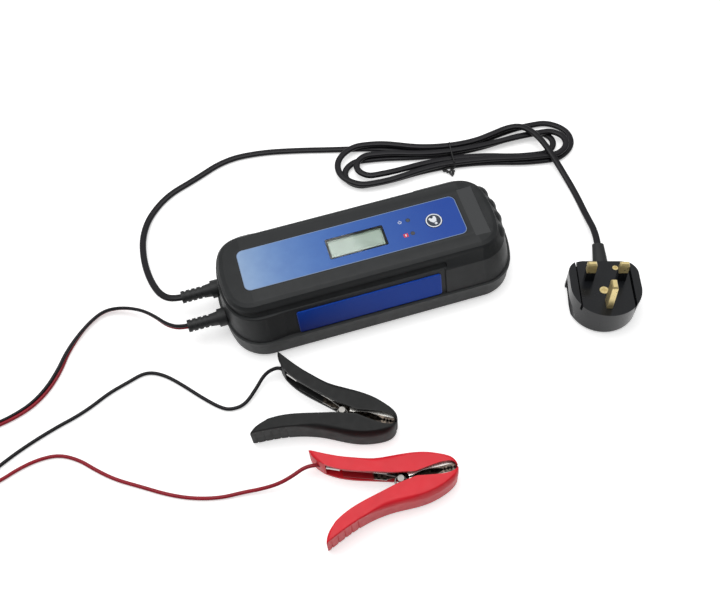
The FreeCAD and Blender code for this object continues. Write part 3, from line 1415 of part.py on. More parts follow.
def battery_clamp(colour):
    """One clamp: two grips with their steel jaws, the pivot pin, the spring and the crimp of its lead."""
    place = Placement(
        Vector(value(colour + "_along"), value(colour + "_across"), 0), Rotation(UP, value(colour + "_turn")),
    )
    half = grip_shape()
    outer_jaw = jaw_shape(value("grip_wall + jaw_inset"))
    inner_jaw = jaw_shape(value("grip_wall + jaw_inset + jaw_wall + ear_gap"))
    mirrored = (Vector(), ACROSS)
    mouth, front = crimp_line()
    crimp = Part.makeCylinder(value("crimp_radius"), value("crimp_length"), mouth, front - mouth)
    wire = path_wire(spring_nodes())
    pieces = {
        "fixed_grip": half,
        "moving_grip": half.mirror(*mirrored),
        "fixed_jaw": outer_jaw,
        "moving_jaw": inner_jaw.mirror(*mirrored),
        "pivot_pin": pivot_shape(),
        "spring": pipe(f"{colour} spring", wire, value("spring_wire")),
        "crimp": crimp,
    }
    for name, shape in pieces.items():
        feature = doc.addObject("Part::Feature", f"{colour}_{name}")
        feature.Shape = shape
        feature.Placement = place
        subpart(f"{colour}_{name}", feature)
    return place


# Cords, wires and what is on them


def arc_pair(start, start_way, end, end_way):
    """Two arcs that join two points and are tangent to a direction at each."""
    span = end - start
    both = start_way + end_way
    a = both.dot(both) - 4
    b = -2 * span.dot(both)
    c = span.dot(span)
    if abs(a) < 1e-9:
        reach = -c / b
    else:
        root = math.sqrt(b * b - 4 * a * c)
        reach = min(size for size in ((-b - root) / (2 * a), (-b + root) / (2 * a)) if size > 0)
    first, second = start + start_way * reach, end - end_way * reach
    joint = (first + second) / 2
    edges = []
    for near, apex, far in ((start, first, joint), (joint, second, end)):
        middle = (near + far) / 2
        half = (far - near).Length / 2
        sagitta = (apex - middle).Length
        if sagitta < 1e-4 * half:
            edges.append(Part.makeLine(near, far))
            continue
        cosine = half / math.hypot(half, sagitta)
        edges.append(Part.Arc(near, middle + (apex - middle) * (cosine / (1 + cosine)), far).toShape())
    return edges


def path_wire(nodes):
    """A smooth path of arcs through points with directions."""
    edges = []
    for (start, start_way), (end, end_way) in zip(nodes, nodes[1:]):
        edges += arc_pair(start, start_way, end, end_way)
    return Part.Wire(edges)


def route_wire(name, points):
    """Straight runs between points with the largest arcs that the runs allow; prints the smallest radius."""
    spots = [Vector(*point) for point in points]
    edges, here, radii = [], spots[0], []
    for before, corner, after in zip(spots, spots[1:], spots[2:]):
        back, ahead = (before - corner), (after - corner)
        run = min(back.Length, ahead.Length)
        turn = math.pi - back.getAngle(ahead)
        inset = 0.45 * run
        radii.append(inset / math.tan(turn / 2))
        enter = corner + back.normalize() * inset
        leave = corner + ahead.normalize() * inset
        bulge = corner + (back + ahead).normalize() * (radii[-1] / math.cos(turn / 2) - radii[-1])
        edges.append(Part.makeLine(here, enter))
        edges.append(Part.Arc(enter, bulge, leave).toShape())
        here = leave
    edges.append(Part.makeLine(here, spots[-1]))
    print(f"{name}: {Part.Wire(edges).Length:.0f} mm, smallest radius {min(radii):.1f} mm")
    return Part.Wire(edges)


def pipe(name, wire, radius):
    """A round tube along a path, its volume compared with its section times its length."""
    first = wire.OrderedEdges[0]
    start = first.valueAt(first.FirstParameter)
    way = first.tangentAt(first.FirstParameter)
    ring = Part.Wire(Part.makeCircle(radius, start, way))
    solid = wire.makePipeShell([ring], True, False)
    share = solid.Volume / (math.pi * radius ** 2 * wire.Length)
    if abs(share - 1) > 0.01:
        raise SystemExit(f"{name}: the tube's volume is {share:.3f} of its section times its length")
    return solid


def cord(name, points, radius):
    """A free stretch of cord as a sub-part."""
    size = value(radius)
    feature = doc.addObject("Part::Feature", name)
    feature.Shape = pipe(name, route_wire(name, points), size)
    return subpart(name, feature)


def least_gap(name, wire, radius):
    """Measures on points the least gap between stretches of one tube that lie apart along it."""
    step = 1.2 * radius
    points = wire.discretize(Number=int(wire.Length / step))
    apart = int(12 * radius / step)
    nearest = min(
        (points[n] - points[m]).Length for n in range(len(points)) for m in range(n + apart, len(points))
    )
    gap = nearest - 2 * radius
    print(f"{name}: {wire.Length:.0f} mm, least gap to itself {gap:.2f} mm")
    if gap <= 0.4:
        raise SystemExit(f"{name} comes too near to itself")


def wound(name, nodes, radius):
    """A wound stretch of cord as a sub-part."""
    size = value(radius)
    wire = path_wire(nodes)
    least_gap(name, wire, size)
    feature = doc.addObject("Part::Feature", name)
    feature.Shape = pipe(name, wire, size)
    return subpart(name, feature)


def hank_place():
    """Where the hank lies, with its waist at the origin and its loops towards both ends of X."""
    return Placement(Vector(value("hank_along"), value("hank_across"), 0), Rotation(UP, value("hank_turn")))


def hank_ends():
    """Where the mains cord enters the hank and where it leaves it, in the hank's frame, with directions."""
    low = value("lay_height + mains_radius")
    enter = Vector(-89.3, 24.7, value("mains_radius")), Vector(0.991, -0.134, 0).normalize()
    leave = Vector(38, 12.5, low + value("layer_rise") + 2.8), Vector(0.977, 0.14, 0.16).normalize()
    return enter, leave


def hank_nodes():
    """The hank's path: long loops to both sides, tied at the waist, in two layers of parallel runs."""
    low, pitch = value("lay_height + mains_radius"), value("column_pitch")
    high = low + value("layer_rise")
    middle = (low + high) / 2
    enter, leave = hank_ends()
    nodes = [enter, (Vector(0, 1.5 * pitch, low), Vector(1, 0, 0))]
    # side, tip, entering edge, leaving edge, row at the waist after it, height, height at the waist after it
    loops = (
        (1, 99, 21, -17, -1.5, low, low),
        (-1, 86, -16, 9, 0.5, low, low),
        (1, 84, 12, -10, -0.5, low, middle),
        (-1, 76, -10, 11, 0.5, high, high),
        (1, 93, 9, -15, -1.5, high, high),
        (-1, 91, -18, 22, 1.5, high, high),
    )
    for side, tip, first, last, row, height, after in loops:
        bend = tip - 0.6 * abs(first - last)
        across = Vector(0, math.copysign(1, last - first), 0)
        nodes += [
            (Vector(side * bend, first, height), Vector(side, 0, 0)),
            (Vector(side * tip, (first + last) / 2, height), across),
            (Vector(side * bend, last, height), Vector(-side, 0, 0)),
            (Vector(0, row * pitch, after), Vector(-side, 0, 0)),
        ]
    return nodes + [leave]


def placed(place, nodes):
    """Points with directions, moved from a frame to where it lies."""
    return [(place.multVec(spot), place.Rotation.multVec(way)) for spot, way in nodes]


def coil_nodes():
    """The put-away coil: half turns that wind inwards, climb, and wind outwards again, and its tail."""
    along, radius = value("coil_along"), value("coil_radius")
    half_pitch = value("column_pitch / 2")
    low = value("lay_height + twin_radius")
    high = low + value("layer_rise")
    inward = [radius - n * half_pitch for n in range(6)]
    outward = [radius - n * half_pitch for n in range(4, -1, -1)]
    climb = inward[-1] - 1.3
    across, side = -radius, 1
    nodes = [(Vector(along, across, low), Vector(-1, 0, 0))]
    for height, radii in ((low, inward), (high, [climb] + outward)):
        for size in radii:
            across += side * 2 * size
            nodes.append((Vector(along, across, height), Vector(side, 0, 0)))
            side = -side
    level, depth = value("splitter_thick / 2"), value("splitter_bore")
    tail = (
        ((-22, -40.5, 5.5), (-0.97, -0.18, -0.16)),
        ((-42, -49, level), (-0.7, -0.714, 0)),
        ((-49, -63, level), (0, -1, 0)),
        ((-40, -76, level), (0.8, -0.6, 0)),
        ((-22, -80, level), (1, 0, 0)),
        ((depth - 13, -80, level), (1, 0, 0)),
    )
    for (x, y, z), way in tail:
        nodes.append((Vector(along + x, y, z), Vector(*way).normalize()))
    return nodes


def strap(name, place, across, height):
    """A flat tie round a bundle: a closed band, square to X, with its inside from corner to corner."""
    width, thick = value("tie_width"), value("tie_thick")
    (near, far), (low, high) = across, height
    inside = Part.makeBox(2 * width, far - near, high - low, Vector(-width, near, low))
    around = Part.makeBox(
        width, far - near + 2 * thick, high - low + 2 * thick, Vector(-width / 2, near - thick, low - thick),
    )
    band = around.makeFillet(1.2, [edge for edge in around.Edges if edge.Length == width]).cut(inside)
    feature = doc.addObject("Part::Feature", name)
    feature.Shape = band
    feature.Placement = place
    return subpart(name, feature)


def mains_side():
    """The mains cord from its gland to the hank, the hank and its tie, and the cord on to the plug."""
    level, floor = value("seam_height"), value("mains_radius")
    across, tip = value("gland_across"), value("-case_left - gland_reach")
    enter, leave = placed(hank_place(), hank_ends())
    cord("mains_cord_in", [
        (tip + value("cord_depth"), across, level), (tip - 5, across, level), (-146, 18.8, 17.3),
        (-151.3, 33, 13.8), (-154.3, 51, 9.8), (-154.6, 69, 6.6), (-152.3, 86.5, 3.9), (-144.5, 104.6, floor),
        (-127.3, 120.6, floor), (-104.6, 129, floor), (-76.3, 142.4, floor), (-47.4, 140.6, floor),
        tuple(enter[0] - enter[1] * 28.5), tuple(enter[0]),
    ], "mains_radius")
    wound("mains_hank", placed(hank_place(), hank_nodes()), "mains_radius")
    half = value("1.5 * column_pitch + mains_radius") + 0.2
    low = value("lay_height")
    high = low + value("layer_rise + 2 * mains_radius")
    strap("hank_tie", hank_place(), (-half, half), (low - 0.2, high + 0.2))
    plug = plug_place()
    offset, end, height = value("sleeve_offset"), value("plug_far + sleeve_length"), value("sleeve_height")
    cord("mains_cord_out", [
        tuple(leave[0]), tuple(leave[0] + leave[1] * 12.4), (158.5, 95.6, 13.6), (164.8, 88, 13.6),
        (168.6, 79, 13.3),
        (171, 69.5, 12.9), (173, 60, 10.5), (174.9, 50.5, 7), (176.6, 40, 3.9), (177.8, 28, 2.2),
        (177.9, 16, floor), (177.2, 4.5, 2.6), (176.2, -6, 4.6), (175.1, -15, 7.2),
        tuple(plug.multVec(Vector(offset, end + 4, height))),
        tuple(plug.multVec(Vector(offset, end - value("sleeve_bore"), height))),
    ], "mains_radius")


def clamp_side(places):
    """The twin lead with its coil and the coil's tie, the splitter and the single leads to the clamps."""
    level, floor, single = value("seam_height"), value("twin_radius"), value("lead_radius")
    across, tip = value("gland_across"), value("-case_left - gland_reach")
    coil = coil_nodes()
    cord("twin_lead", [
        (tip + value("cord_depth"), -across, level), (tip - 5, -across, level), (-146.6, -5.4, 16.6),
        (-153.6, 5.2, 13.8), (-161.4, 14.8, 10.6), (-170.6, 22.2, 7.3), (-180.8, 27.2, 4.5),
        (-190.6, 28.5, 2.6),
        (-199.6, 24.6, floor), (-209.6, 16.5, floor), (-221.1, 3, floor), (-228.2, -9.7, floor),
        (-238, -22, floor), (-250, -31, floor), (-264, -36, floor), (-278, -38.5, floor),
        (-295, -39.2, floor),
        tuple(coil[0][0] - coil[0][1] * 12), tuple(coil[0][0]),
    ], "twin_radius")
    wound("dc_coil", coil, "twin_radius")
    along, radius, pitch = value("coil_along"), value("coil_radius"), value("column_pitch")
    bundle = (radius - 2.5 * pitch - floor, radius + floor + 0.2)
    low = value("lay_height")
    high = low + value("layer_rise + 2 * twin_radius")
    strap("coil_tie", Placement(Vector(along, 0, 0), Rotation()), bundle, (low - 0.2, high + 0.2))
    moulding = block("splitter_block", ("coil_along - 13 + splitter_length / 2", "-80", "0"), (
        "splitter_length", "splitter_width", "splitter_thick",
    ))
    doc.recompute()
    rounded = doc.addObject("Part::Fillet", "splitter_rounded")
    rounded.Base = moulding
    rounded.Edges = [(n + 1, 2.4, 2.4) for n in range(len(moulding.Shape.Edges))]
    middle = "splitter_thick / 2"
    bores = [cylinder(
        "splitter_bore_twin", ("coil_along - 14", "-80", middle), "twin_radius + cord_fit",
        "splitter_bore + 1",
        Rotation(ACROSS, 90),
    )]
    for name, side in (("black", 1), ("red", -1)):
        bores.append(cylinder(
            f"splitter_bore_{name}",
            ("coil_along - 13 + splitter_length - splitter_bore", f"{side} * fork_spread - 80", middle),
            "lead_radius + cord_fit", "splitter_bore + 1", Rotation(ACROSS, 90),
        ))
    subpart("lead_splitter", cut("splitter_finished", rounded, *bores))
    start = along - 13 + value("splitter_length")
    depth, spread = value("splitter_bore"), value("fork_spread")
    mouth, _ = crimp_line()
    back = Vector(*crimp_way())
    fork = value("splitter_thick / 2")
    black_end, red_end = (places[colour].multVec(mouth) for colour in ("black", "red"))
    black_back, red_back = (places[colour].multVec(mouth - back * 5.5) for colour in ("black", "red"))
    cord("black_lead", [
        (start - depth, spread - 80, fork), (start + 5, spread - 80, fork), (start + 16, spread - 78.8, 1.8),
        (-276, -69, single), (-263, -62.6, single),
        (-249, -57, single), (-233.2, -51.7, single), (-222.5, -48.9, single), (-210.5, -44.4, single),
        (-196.5, -37.3, single), (-183.2, -33.4, single), (-171.9, -29.7, single), (-164, -31.3, single),
        (-155.3, -37.3, single), (-145.8, -47.6, single), (-134.3, -61.5, single), (-124.3, -71.8, single),
        (-117.9, -75.3, single), (-108, -75, 1.8), (-98.5, -67.3, 3.8), (-89.6, -58.9, 7),
        (-81.7, -57.6, 9.4), tuple(black_back), tuple(black_end),
    ], "lead_radius")
    cord("red_lead", [
        (start - depth, -spread - 80, fork), (start + 5, -spread - 80, fork), (start + 16, -spread - 79, 1.8),
        (-276, -79.5, single), (-263, -74.6, single),
        (-249, -72, single), (-235.5, -73, single), (-223, -80.8, single), (-213.2, -91.2, single),
        (-201.6, -101.6, single), (-186.3, -111.3, single), (-170.2, -121.9, single),
        (-154.3, -129.6, single),
        (-137.2, -134.3, 1.4), (-122.5, -135.3, 2.4), (-110, -137.4, 4.4), (-98.5, -138.2, 6.8),
        (-88.5, -136.4, 8.8), (-79.7, -133.4, 9.9), tuple(red_back), tuple(red_end),
    ], "lead_radius")


def finish():
    """Checks every object and writes each sub-part to its file."""
    doc.recompute()
    for item in doc.Objects:
        if {"Invalid", "Error"} & set(item.State):
            raise SystemExit(f"{item.Name} failed: {item.State}")
    os.makedirs("parts", exist_ok=True)
    for name, feature in SUBPARTS.items():
        shape = feature.Shape
        if shape.isNull() or not shape.isValid() or not shape.Solids:
            raise SystemExit(f"{name} has no valid solid")
        shape.exportStep(f"parts/{name}.step")
    print(len(SUBPARTS), "sub-parts written")


bottom_shell()
top_shell()
case_seal()
fasteners()
rubber_feet()
label_and_display()
controls()
boards()
power_parts()
cable_gland("mains_gland", 1, "mains_radius")
cable_gland("dc_gland", -1, "twin_radius")
plug_shells()
plug_pins()
sleeve_with_bore()
clamp_places = {colour: battery_clamp(colour) for colour in ("black", "red")}
mains_side()
clamp_side(clamp_places)
finish()
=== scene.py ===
"""Looks of a car battery charger: its case, label and display, the mains plug, the battery clamps and the
cords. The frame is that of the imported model: X along the case, Y to the back, Z up. Lengths are given in
millimetres and angles in degrees, and MM turns a length into metres."""
import math

import bmesh
import bpy
import numpy as np
from mathutils import Matrix, Vector


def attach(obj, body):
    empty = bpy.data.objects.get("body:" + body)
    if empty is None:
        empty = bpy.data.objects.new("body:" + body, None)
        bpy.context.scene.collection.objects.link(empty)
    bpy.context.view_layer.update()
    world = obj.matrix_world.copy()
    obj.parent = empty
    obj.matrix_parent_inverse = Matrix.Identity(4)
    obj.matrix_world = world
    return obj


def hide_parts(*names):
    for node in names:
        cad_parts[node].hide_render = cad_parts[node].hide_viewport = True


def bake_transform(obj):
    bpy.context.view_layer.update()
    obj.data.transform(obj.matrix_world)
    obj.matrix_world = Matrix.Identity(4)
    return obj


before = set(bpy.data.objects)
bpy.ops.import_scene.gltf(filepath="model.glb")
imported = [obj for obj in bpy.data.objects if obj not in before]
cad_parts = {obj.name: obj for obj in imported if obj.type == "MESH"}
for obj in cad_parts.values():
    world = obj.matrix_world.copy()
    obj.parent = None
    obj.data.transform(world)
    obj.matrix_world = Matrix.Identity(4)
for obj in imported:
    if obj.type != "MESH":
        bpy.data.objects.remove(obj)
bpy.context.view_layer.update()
MM = 0.001

# Camera

CAMERA_PLACE = (-79.76, -339.05, 555.74)
CAMERA_TURN = (30.564, 2.289, -16.345)
CAMERA_LENS = 44.031
SENSOR = 36

# Cords: the routes are those of the solid model, moved by a few millimetres where the cord lies differently

MAINS_WIDTH = 5.0
MAINS_THICK = 3.3
MAINS_LOW = MAINS_THICK / 2
HANK_LOW = MAINS_LOW + 0.7
LAYER_RISE = 3.5
COLUMN_PITCH = 5.7
HALF_TURN_OF_FOUR = 1.082
HALF_TURN_OF_SIX = 1.035
HANK_PLACE = (98, 87)
HANK_TURN = -7.8
STRAND_RADIUS = 1.25
STRAND_OFFSET = 1.15
STRAND_RINGS = 12
COIL_ALONG = -322
COIL_RADIUS = 37.0
COIL_LOW = 2.7
COIL_RISE = 4.8
LEAD_RADIUS = 1.3
TIE_RADIUS = 0.6
TIE_CORNER = 1.6
TIE_LEAN = 0.6
TAIL_RADIUS = 0.85

# Label, display, lamps, button and badge, from the middle of the case

LABEL_MIDDLE = -7.2
LABEL_LENGTH = 159.4
LABEL_WIDTH = 33.6
LABEL_CORNER = 4.6
LABEL_TOP = 49.9
BUTTON_PLACE = (52.6, -0.2)
BUTTON_TOP = 50.25
PRINT_THICK = 0.02
POWER_SIGN_PLACE = (29.3, 5.6)
FAULT_SIGN_PLACE = (30.2, -6.2)
WINDOW_PLACE = (-4.2, -0.9)
WINDOW_SIZE = (41.8, 16.8)
PATCH_MIDDLE = 81.8
PATCH_LENGTH = 11
PATCH_WIDTH = 42
PATCH_FLOOR = 49.5
BADGE_MIDDLE = -5.9
BADGE_REACH = 51.1

# Clamps: outline of a half from its tip, along it and out from the middle line

CLAMP_WIDTH = 20
FIXED_CHEEK = 6.1
MOVING_CHEEK = 4.8
CLAMP_BACK = (
    (0.1, 1.5), (0.9, 4.2), (3.6, 7.6), (10, 11.4), (24.9, 15.6), (45.2, 16.3), (70.1, 21.4), (91.7, 31.1),
)
CLAMP_MOUTH = ((0.4, 0.4), (2.4, 2.4), (8.5, 3.9), (17, 3.2), (27.7, 1.5))
CLAMP_HANDLE = ((41.7, 3.9), (53.7, 7.2), (78.2, 15.6), (84.7, 19.6))
GRIP_SHELL = 2.2
GRIP_END_BULGE = 1.4
# where the steel inside a clamp's handle starts to be painted in a darker shade of the grip's colour, painted
# shade
GRIP_SHADE_START = 53
GROOVE_START = 70.2
GROOVE_PITCH = 4.7
GROOVE_COUNT = 5
GROOVE_WIDTH = 1.3
GROOVE_DEPTH = 0.7
CLAMP_PLACES = {"black": ((-13.6, -124), -30.65), "red": ((14.6, -163.9), -4.27)}

# Colours, linear

CASE_COLOUR = (0.0195, 0.0212, 0.0222)
PATCH_COLOUR = (0.052, 0.054, 0.056)
LABEL_BLUE = (0.007, 0.061, 0.36)
BADGE_BLUE = (0.008, 0.066, 0.46)
LCD_GREY = (0.59, 0.72, 0.62)
PRINT_WHITE = (0.80, 0.83, 0.88)
PRINT_RED = (0.62, 0.015, 0.06)
CORD_BLACK = (0.0085, 0.008, 0.0105)
CORD_RED = (0.30, 0.006, 0.018)
GRIP_BLACK = (0.011, 0.0115, 0.0115)
GRIP_RED = (0.76, 0.013, 0.027)


# Making pieces


def new_piece(name, data):
    """A new object in the scene."""
    piece = bpy.data.objects.new(name, data)
    bpy.context.collection.objects.link(piece)
    return piece


def mesh_of(name, work):
    """A new mesh of the faces in the work, which ends there."""
    mesh = bpy.data.meshes.new(name)
    work.to_mesh(mesh)
    work.free()
    return mesh


def laid(place, turn):
    """The placing of something that lies on the floor: turned about the vertical, then moved."""
    return Matrix.Translation(Vector((*place, 0)) * MM) @ Matrix.Rotation(math.radians(turn), 4, "Z")


# Materials


def node_of(tree, kind, **inputs):
    """A new node with some of its inputs set or linked."""
    node = tree.nodes.new(kind)
    for name, value in inputs.items():
        socket = node.inputs[name.replace("_", " ")]
        if isinstance(value, bpy.types.NodeSocket):
            tree.links.new(value, socket)
        else:
            socket.default_value = value
    return node


def maths(tree, operation, *values):
    """The result of a sum with sockets or numbers."""
    node = tree.nodes.new("ShaderNodeMath")
    node.operation = operation
    for socket, value in zip(node.inputs, values):
        if isinstance(value, bpy.types.NodeSocket):
            tree.links.new(value, socket)
        else:
            socket.default_value = value
    return node.outputs["Value"]


def finish_of(name, colour, roughness, **sockets):
    """A new material: its node tree and its shader, with the same finish all over."""
    material = bpy.data.materials.new(name)
    material.use_nodes = True
    tree = material.node_tree
    shader = tree.nodes["Principled BSDF"]
    shader.inputs["Base Color"].default_value = (*colour, 1)
    shader.inputs["Roughness"].default_value = roughness
    for socket, value in sockets.items():
        shader.inputs[socket.replace("_", " ")].default_value = value
    return material, tree, shader


def places(tree):
    """The point on the piece, in the frame of the model."""
    return tree.nodes.new("ShaderNodeTexCoord").outputs["Object"]


def noise(tree, size, detail=2.0, stretch=(1, 1, 1)):
    """Noise whose lumps are about a size in millimetres, longer where the stretch is small."""
    where = node_of(tree, "ShaderNodeMapping", Vector=places(tree), Scale=stretch)
    texture = node_of(
        tree, "ShaderNodeTexNoise", Vector=where.outputs["Vector"], Scale=1 / (size * MM), Detail=detail,
    )
    return texture.outputs["Fac"]


def spread(tree, value, low, high, start=0.3, end=0.7):
    """A value moved from one range to another."""
    node = node_of(tree, "ShaderNodeMapRange", Value=value)
    node.inputs["From Min"].default_value = start
    node.inputs["From Max"].default_value = end
    node.inputs["To Min"].default_value = low
    node.inputs["To Max"].default_value = high
    return node.outputs["Result"]


def mix(tree, share, first, second):
    """Two colours mixed."""
    node = tree.nodes.new("ShaderNodeMix")
    node.data_type = "RGBA"
    tree.links.new(share, node.inputs[0])
    for socket, value in ((node.inputs[6], first), (node.inputs[7], second)):
        if isinstance(value, bpy.types.NodeSocket):
            tree.links.new(value, socket)
        else:
            socket.default_value = (*value, 1)
    return node.outputs[2]


def shaded(colour, share):
    """A colour made darker or lighter."""
    return [min(1, part * share) for part in colour]


def roughen(tree, shader, height, depth):
    """Bump of a depth in millimetres."""
    bump = node_of(tree, "ShaderNodeBump", Height=height, Distance=depth * MM)
    tree.links.new(bump.outputs["Normal"], shader.inputs["Normal"])


def uneven(tree, colour, size, less, more):
    """A colour that varies from place to place between a darker and a lighter shade of it."""
    return mix(tree, spread(tree, noise(tree, size), 0, 1), shaded(colour, less), shaded(colour, more))


def worn(tree, colour, amount):
    """A colour that is lighter along the outer edges, where handling has polished the surface."""
    edges = tree.nodes.new("ShaderNodeNewGeometry").outputs["Pointiness"]
    return mix(tree, spread(tree, edges, 0, amount, 0.52, 0.60), colour, (0.30, 0.30, 0.30))


def position(tree):
    """The three coordinates of the point on the piece."""
    split = node_of(tree, "ShaderNodeSeparateXYZ", Vector=places(tree))
    return [split.outputs[axis] for axis in "XYZ"]


def distance(tree, value, middle):
    """How far a coordinate is from a middle in millimetres, to either side."""
    return maths(tree, "ABSOLUTE", maths(tree, "SUBTRACT", value, middle * MM))


def moulded(name, colour, roughness, grain, depth, variation=0.10, wear=0.0, **sockets):
    """Moulded plastic: a fine grain, slight changes of colour and gloss, and worn edges."""
    material, tree, shader = finish_of(name, colour, roughness, **sockets)
    shade = uneven(tree, colour, 14, 1 - variation, 1 + variation)
    if wear:
        shade = worn(tree, shade, wear)
    tree.links.new(shade, shader.inputs["Base Color"])
    gloss = spread(tree, noise(tree, 5), roughness - 0.04, roughness + 0.04)
    tree.links.new(gloss, shader.inputs["Roughness"])
    roughen(tree, shader, noise(tree, grain, 3), depth)
    return material


def metal(name, colour, roughness, scratch, stretch=(1, 1, 1), metallic=1.0):
    """Plated or bare metal with fine drawn lines and a slightly uneven polish."""
    material, tree, shader = finish_of(name, colour, roughness, Metallic=metallic)
    tree.links.new(uneven(tree, colour, 6, 0.92, 1.04), shader.inputs["Base Color"])
    smears = spread(tree, noise(tree, 3), roughness - 0.04, roughness + 0.06)
    tree.links.new(smears, shader.inputs["Roughness"])
    roughen(tree, shader, noise(tree, scratch, 3, stretch), 0.004)
    return material


def clamp_metal(name, place, turn, cheek, shaded_grip_colour):
    """Plated steel of a clamp: bright lips and ears; painted shade, with painted glints, on its toothed and
    inner faces, and inside the handle a darker shade of the grip's colour, also painted shade.
    """
    material, tree, shader = finish_of(name, (0.80, 0.79, 0.76), 0.3, Metallic=0.7)
    spot = position(tree)
    c, s = math.cos(math.radians(turn)), math.sin(math.radians(turn))
    x, y = (maths(tree, "SUBTRACT", value, start * MM) for value, start in zip(spot, place))
    along = maths(tree, "ADD", maths(tree, "MULTIPLY", x, -c), maths(tree, "MULTIPLY", y, -s))
    across = maths(tree, "ADD", maths(tree, "MULTIPLY", x, -s), maths(tree, "MULTIPLY", y, c))
    height = distance(tree, spot[2], CLAMP_WIDTH / 2)
    # painted shade: the steel at heights between the two cheeks is painted dark
    between = spread(tree, height, 1, 0, (cheek - 0.2) * MM, cheek * MM)
    # painted shade also on the steel near the middle line, inside the bright lip, where the teeth stand
    lip = spread(tree, along, 2.4 * MM, -1 * MM, 16 * MM, 30 * MM)
    past_lip = maths(tree, "SUBTRACT", maths(tree, "ABSOLUTE", across), lip)
    teeth = spread(tree, past_lip, 1, 0, -0.4 * MM, 0.2 * MM)
    painted_shade_share = maths(tree, "MAXIMUM", between, teeth)
    bright = mix(tree, spread(tree, noise(tree, 6), 0, 1), (0.72, 0.70, 0.66), (0.84, 0.83, 0.79))
    # painted glints: noise lightens the painted shade here and there
    painted_glint_share = spread(tree, noise(tree, 2.5), 0, 1, 0.4, 0.65)
    painted_shade_colour = mix(tree, painted_glint_share, (0.022, 0.017, 0.014), (0.20, 0.16, 0.125))
    # painted shade: past this distance from the tip the steel is painted in a darker shade of the grip's
    # colour, not metallic
    handle = spread(tree, along, 0, 1, GRIP_SHADE_START * MM, (GRIP_SHADE_START + 1.5) * MM)
    tree.links.new(mix(tree, handle, mix(tree, painted_shade_share, bright, painted_shade_colour), shaded_grip_colour), shader.inputs["Base Color"])
    tree.links.new(spread(tree, handle, 0.7, 0, 0, 1), shader.inputs["Metallic"])
    smears = spread(tree, noise(tree, 3), 0.20, 0.30)
    rough = maths(tree, "MULTIPLY", maths(tree, "MAXIMUM", painted_shade_share, handle), 0.2)
    tree.links.new(maths(tree, "ADD", smears, rough), shader.inputs["Roughness"])
    roughen(tree, shader, noise(tree, 0.5, 3), 0.004)
    return material


def case_finish():
    """Textured plastic of the case, smoother and paler in the patch by the label, pale round the display."""
    material, tree, shader = finish_of("case_plastic", CASE_COLOUR, 0.5, Specular_IOR_Level=0.22)
    x, y, z = position(tree)
    inside = [
        maths(tree, "LESS_THAN", distance(tree, x, PATCH_MIDDLE), (PATCH_LENGTH / 2 + 0.1) * MM),
        maths(tree, "LESS_THAN", maths(tree, "ABSOLUTE", y), (PATCH_WIDTH / 2 + 0.1) * MM),
        maths(tree, "LESS_THAN", z, (PATCH_FLOOR + 0.1) * MM),
        maths(tree, "GREATER_THAN", z, (PATCH_FLOOR - 0.3) * MM),
    ]
    patch = inside[0]
    for test in inside[1:]:
        patch = maths(tree, "MULTIPLY", patch, test)
    body = worn(tree, uneven(tree, CASE_COLOUR, 16, 0.92, 1.08), 0.06)
    body = mix(tree, patch, body, PATCH_COLOUR)
    ledge = maths(tree, "LESS_THAN", z, (LABEL_TOP - 0.9) * MM)
    for value, middle, length in zip((x, y), WINDOW_PLACE, WINDOW_SIZE):
        close = maths(tree, "LESS_THAN", distance(tree, value, middle), (length / 2 + 0.05) * MM)
        ledge = maths(tree, "MULTIPLY", ledge, close)
    deck = maths(tree, "GREATER_THAN", z, (LABEL_TOP - 5) * MM)
    body = mix(tree, maths(tree, "MULTIPLY", ledge, deck), body, LCD_GREY)
    tree.links.new(body, shader.inputs["Base Color"])
    gloss = spread(tree, noise(tree, 5), 0.42, 0.50)
    gloss = maths(tree, "SUBTRACT", gloss, maths(tree, "MULTIPLY", patch, 0.10))
    tree.links.new(gloss, shader.inputs["Roughness"])
    share = maths(tree, "SUBTRACT", 1.0, maths(tree, "MULTIPLY", patch, 0.85))
    roughen(tree, shader, maths(tree, "MULTIPLY", noise(tree, 0.45, 3), share), 0.035)
    return material


def label_finish():
    """Printed film: blue, with a painted sheen that makes it paler towards the left, and a thin pale line
    along its edge.
    """
    material, tree, shader = finish_of("label_blue", LABEL_BLUE, 0.34, Specular_IOR_Level=0.3)
    x, y, _ = position(tree)
    beyond = []
    for value, middle, length in ((x, LABEL_MIDDLE, LABEL_LENGTH), (y, 0, LABEL_WIDTH)):
        out = maths(tree, "SUBTRACT", distance(tree, value, middle), (length / 2 - LABEL_CORNER) * MM)
        beyond.append(maths(tree, "MAXIMUM", out, 0.0))
    squares = [maths(tree, "POWER", value, 2.0) for value in beyond]
    reach = maths(tree, "SQRT", maths(tree, "ADD", *squares))
    line = spread(tree, reach, 0, 1, (LABEL_CORNER - 0.5) * MM, (LABEL_CORNER - 0.4) * MM)
    # painted sheen: the film is painted paler towards the left, most of all at its left end
    fade = spread(tree, x, 1, 0, -90 * MM, 60 * MM)
    blue_here = mix(tree, fade, LABEL_BLUE, (0.060, 0.20, 0.54))
    blue_here = mix(tree, maths(tree, "POWER", fade, 5.0), blue_here, (0.32, 0.46, 0.66))
    blue_here = mix(tree, spread(tree, noise(tree, 9), 0.0, 0.12), blue_here, (0.004, 0.04, 0.30))
    tree.links.new(mix(tree, line, blue_here, (0.22, 0.30, 0.46)), shader.inputs["Base Color"])
    tree.links.new(spread(tree, noise(tree, 4), 0.30, 0.38), shader.inputs["Roughness"])
    roughen(tree, shader, noise(tree, 0.5, 2), 0.006)
    return material


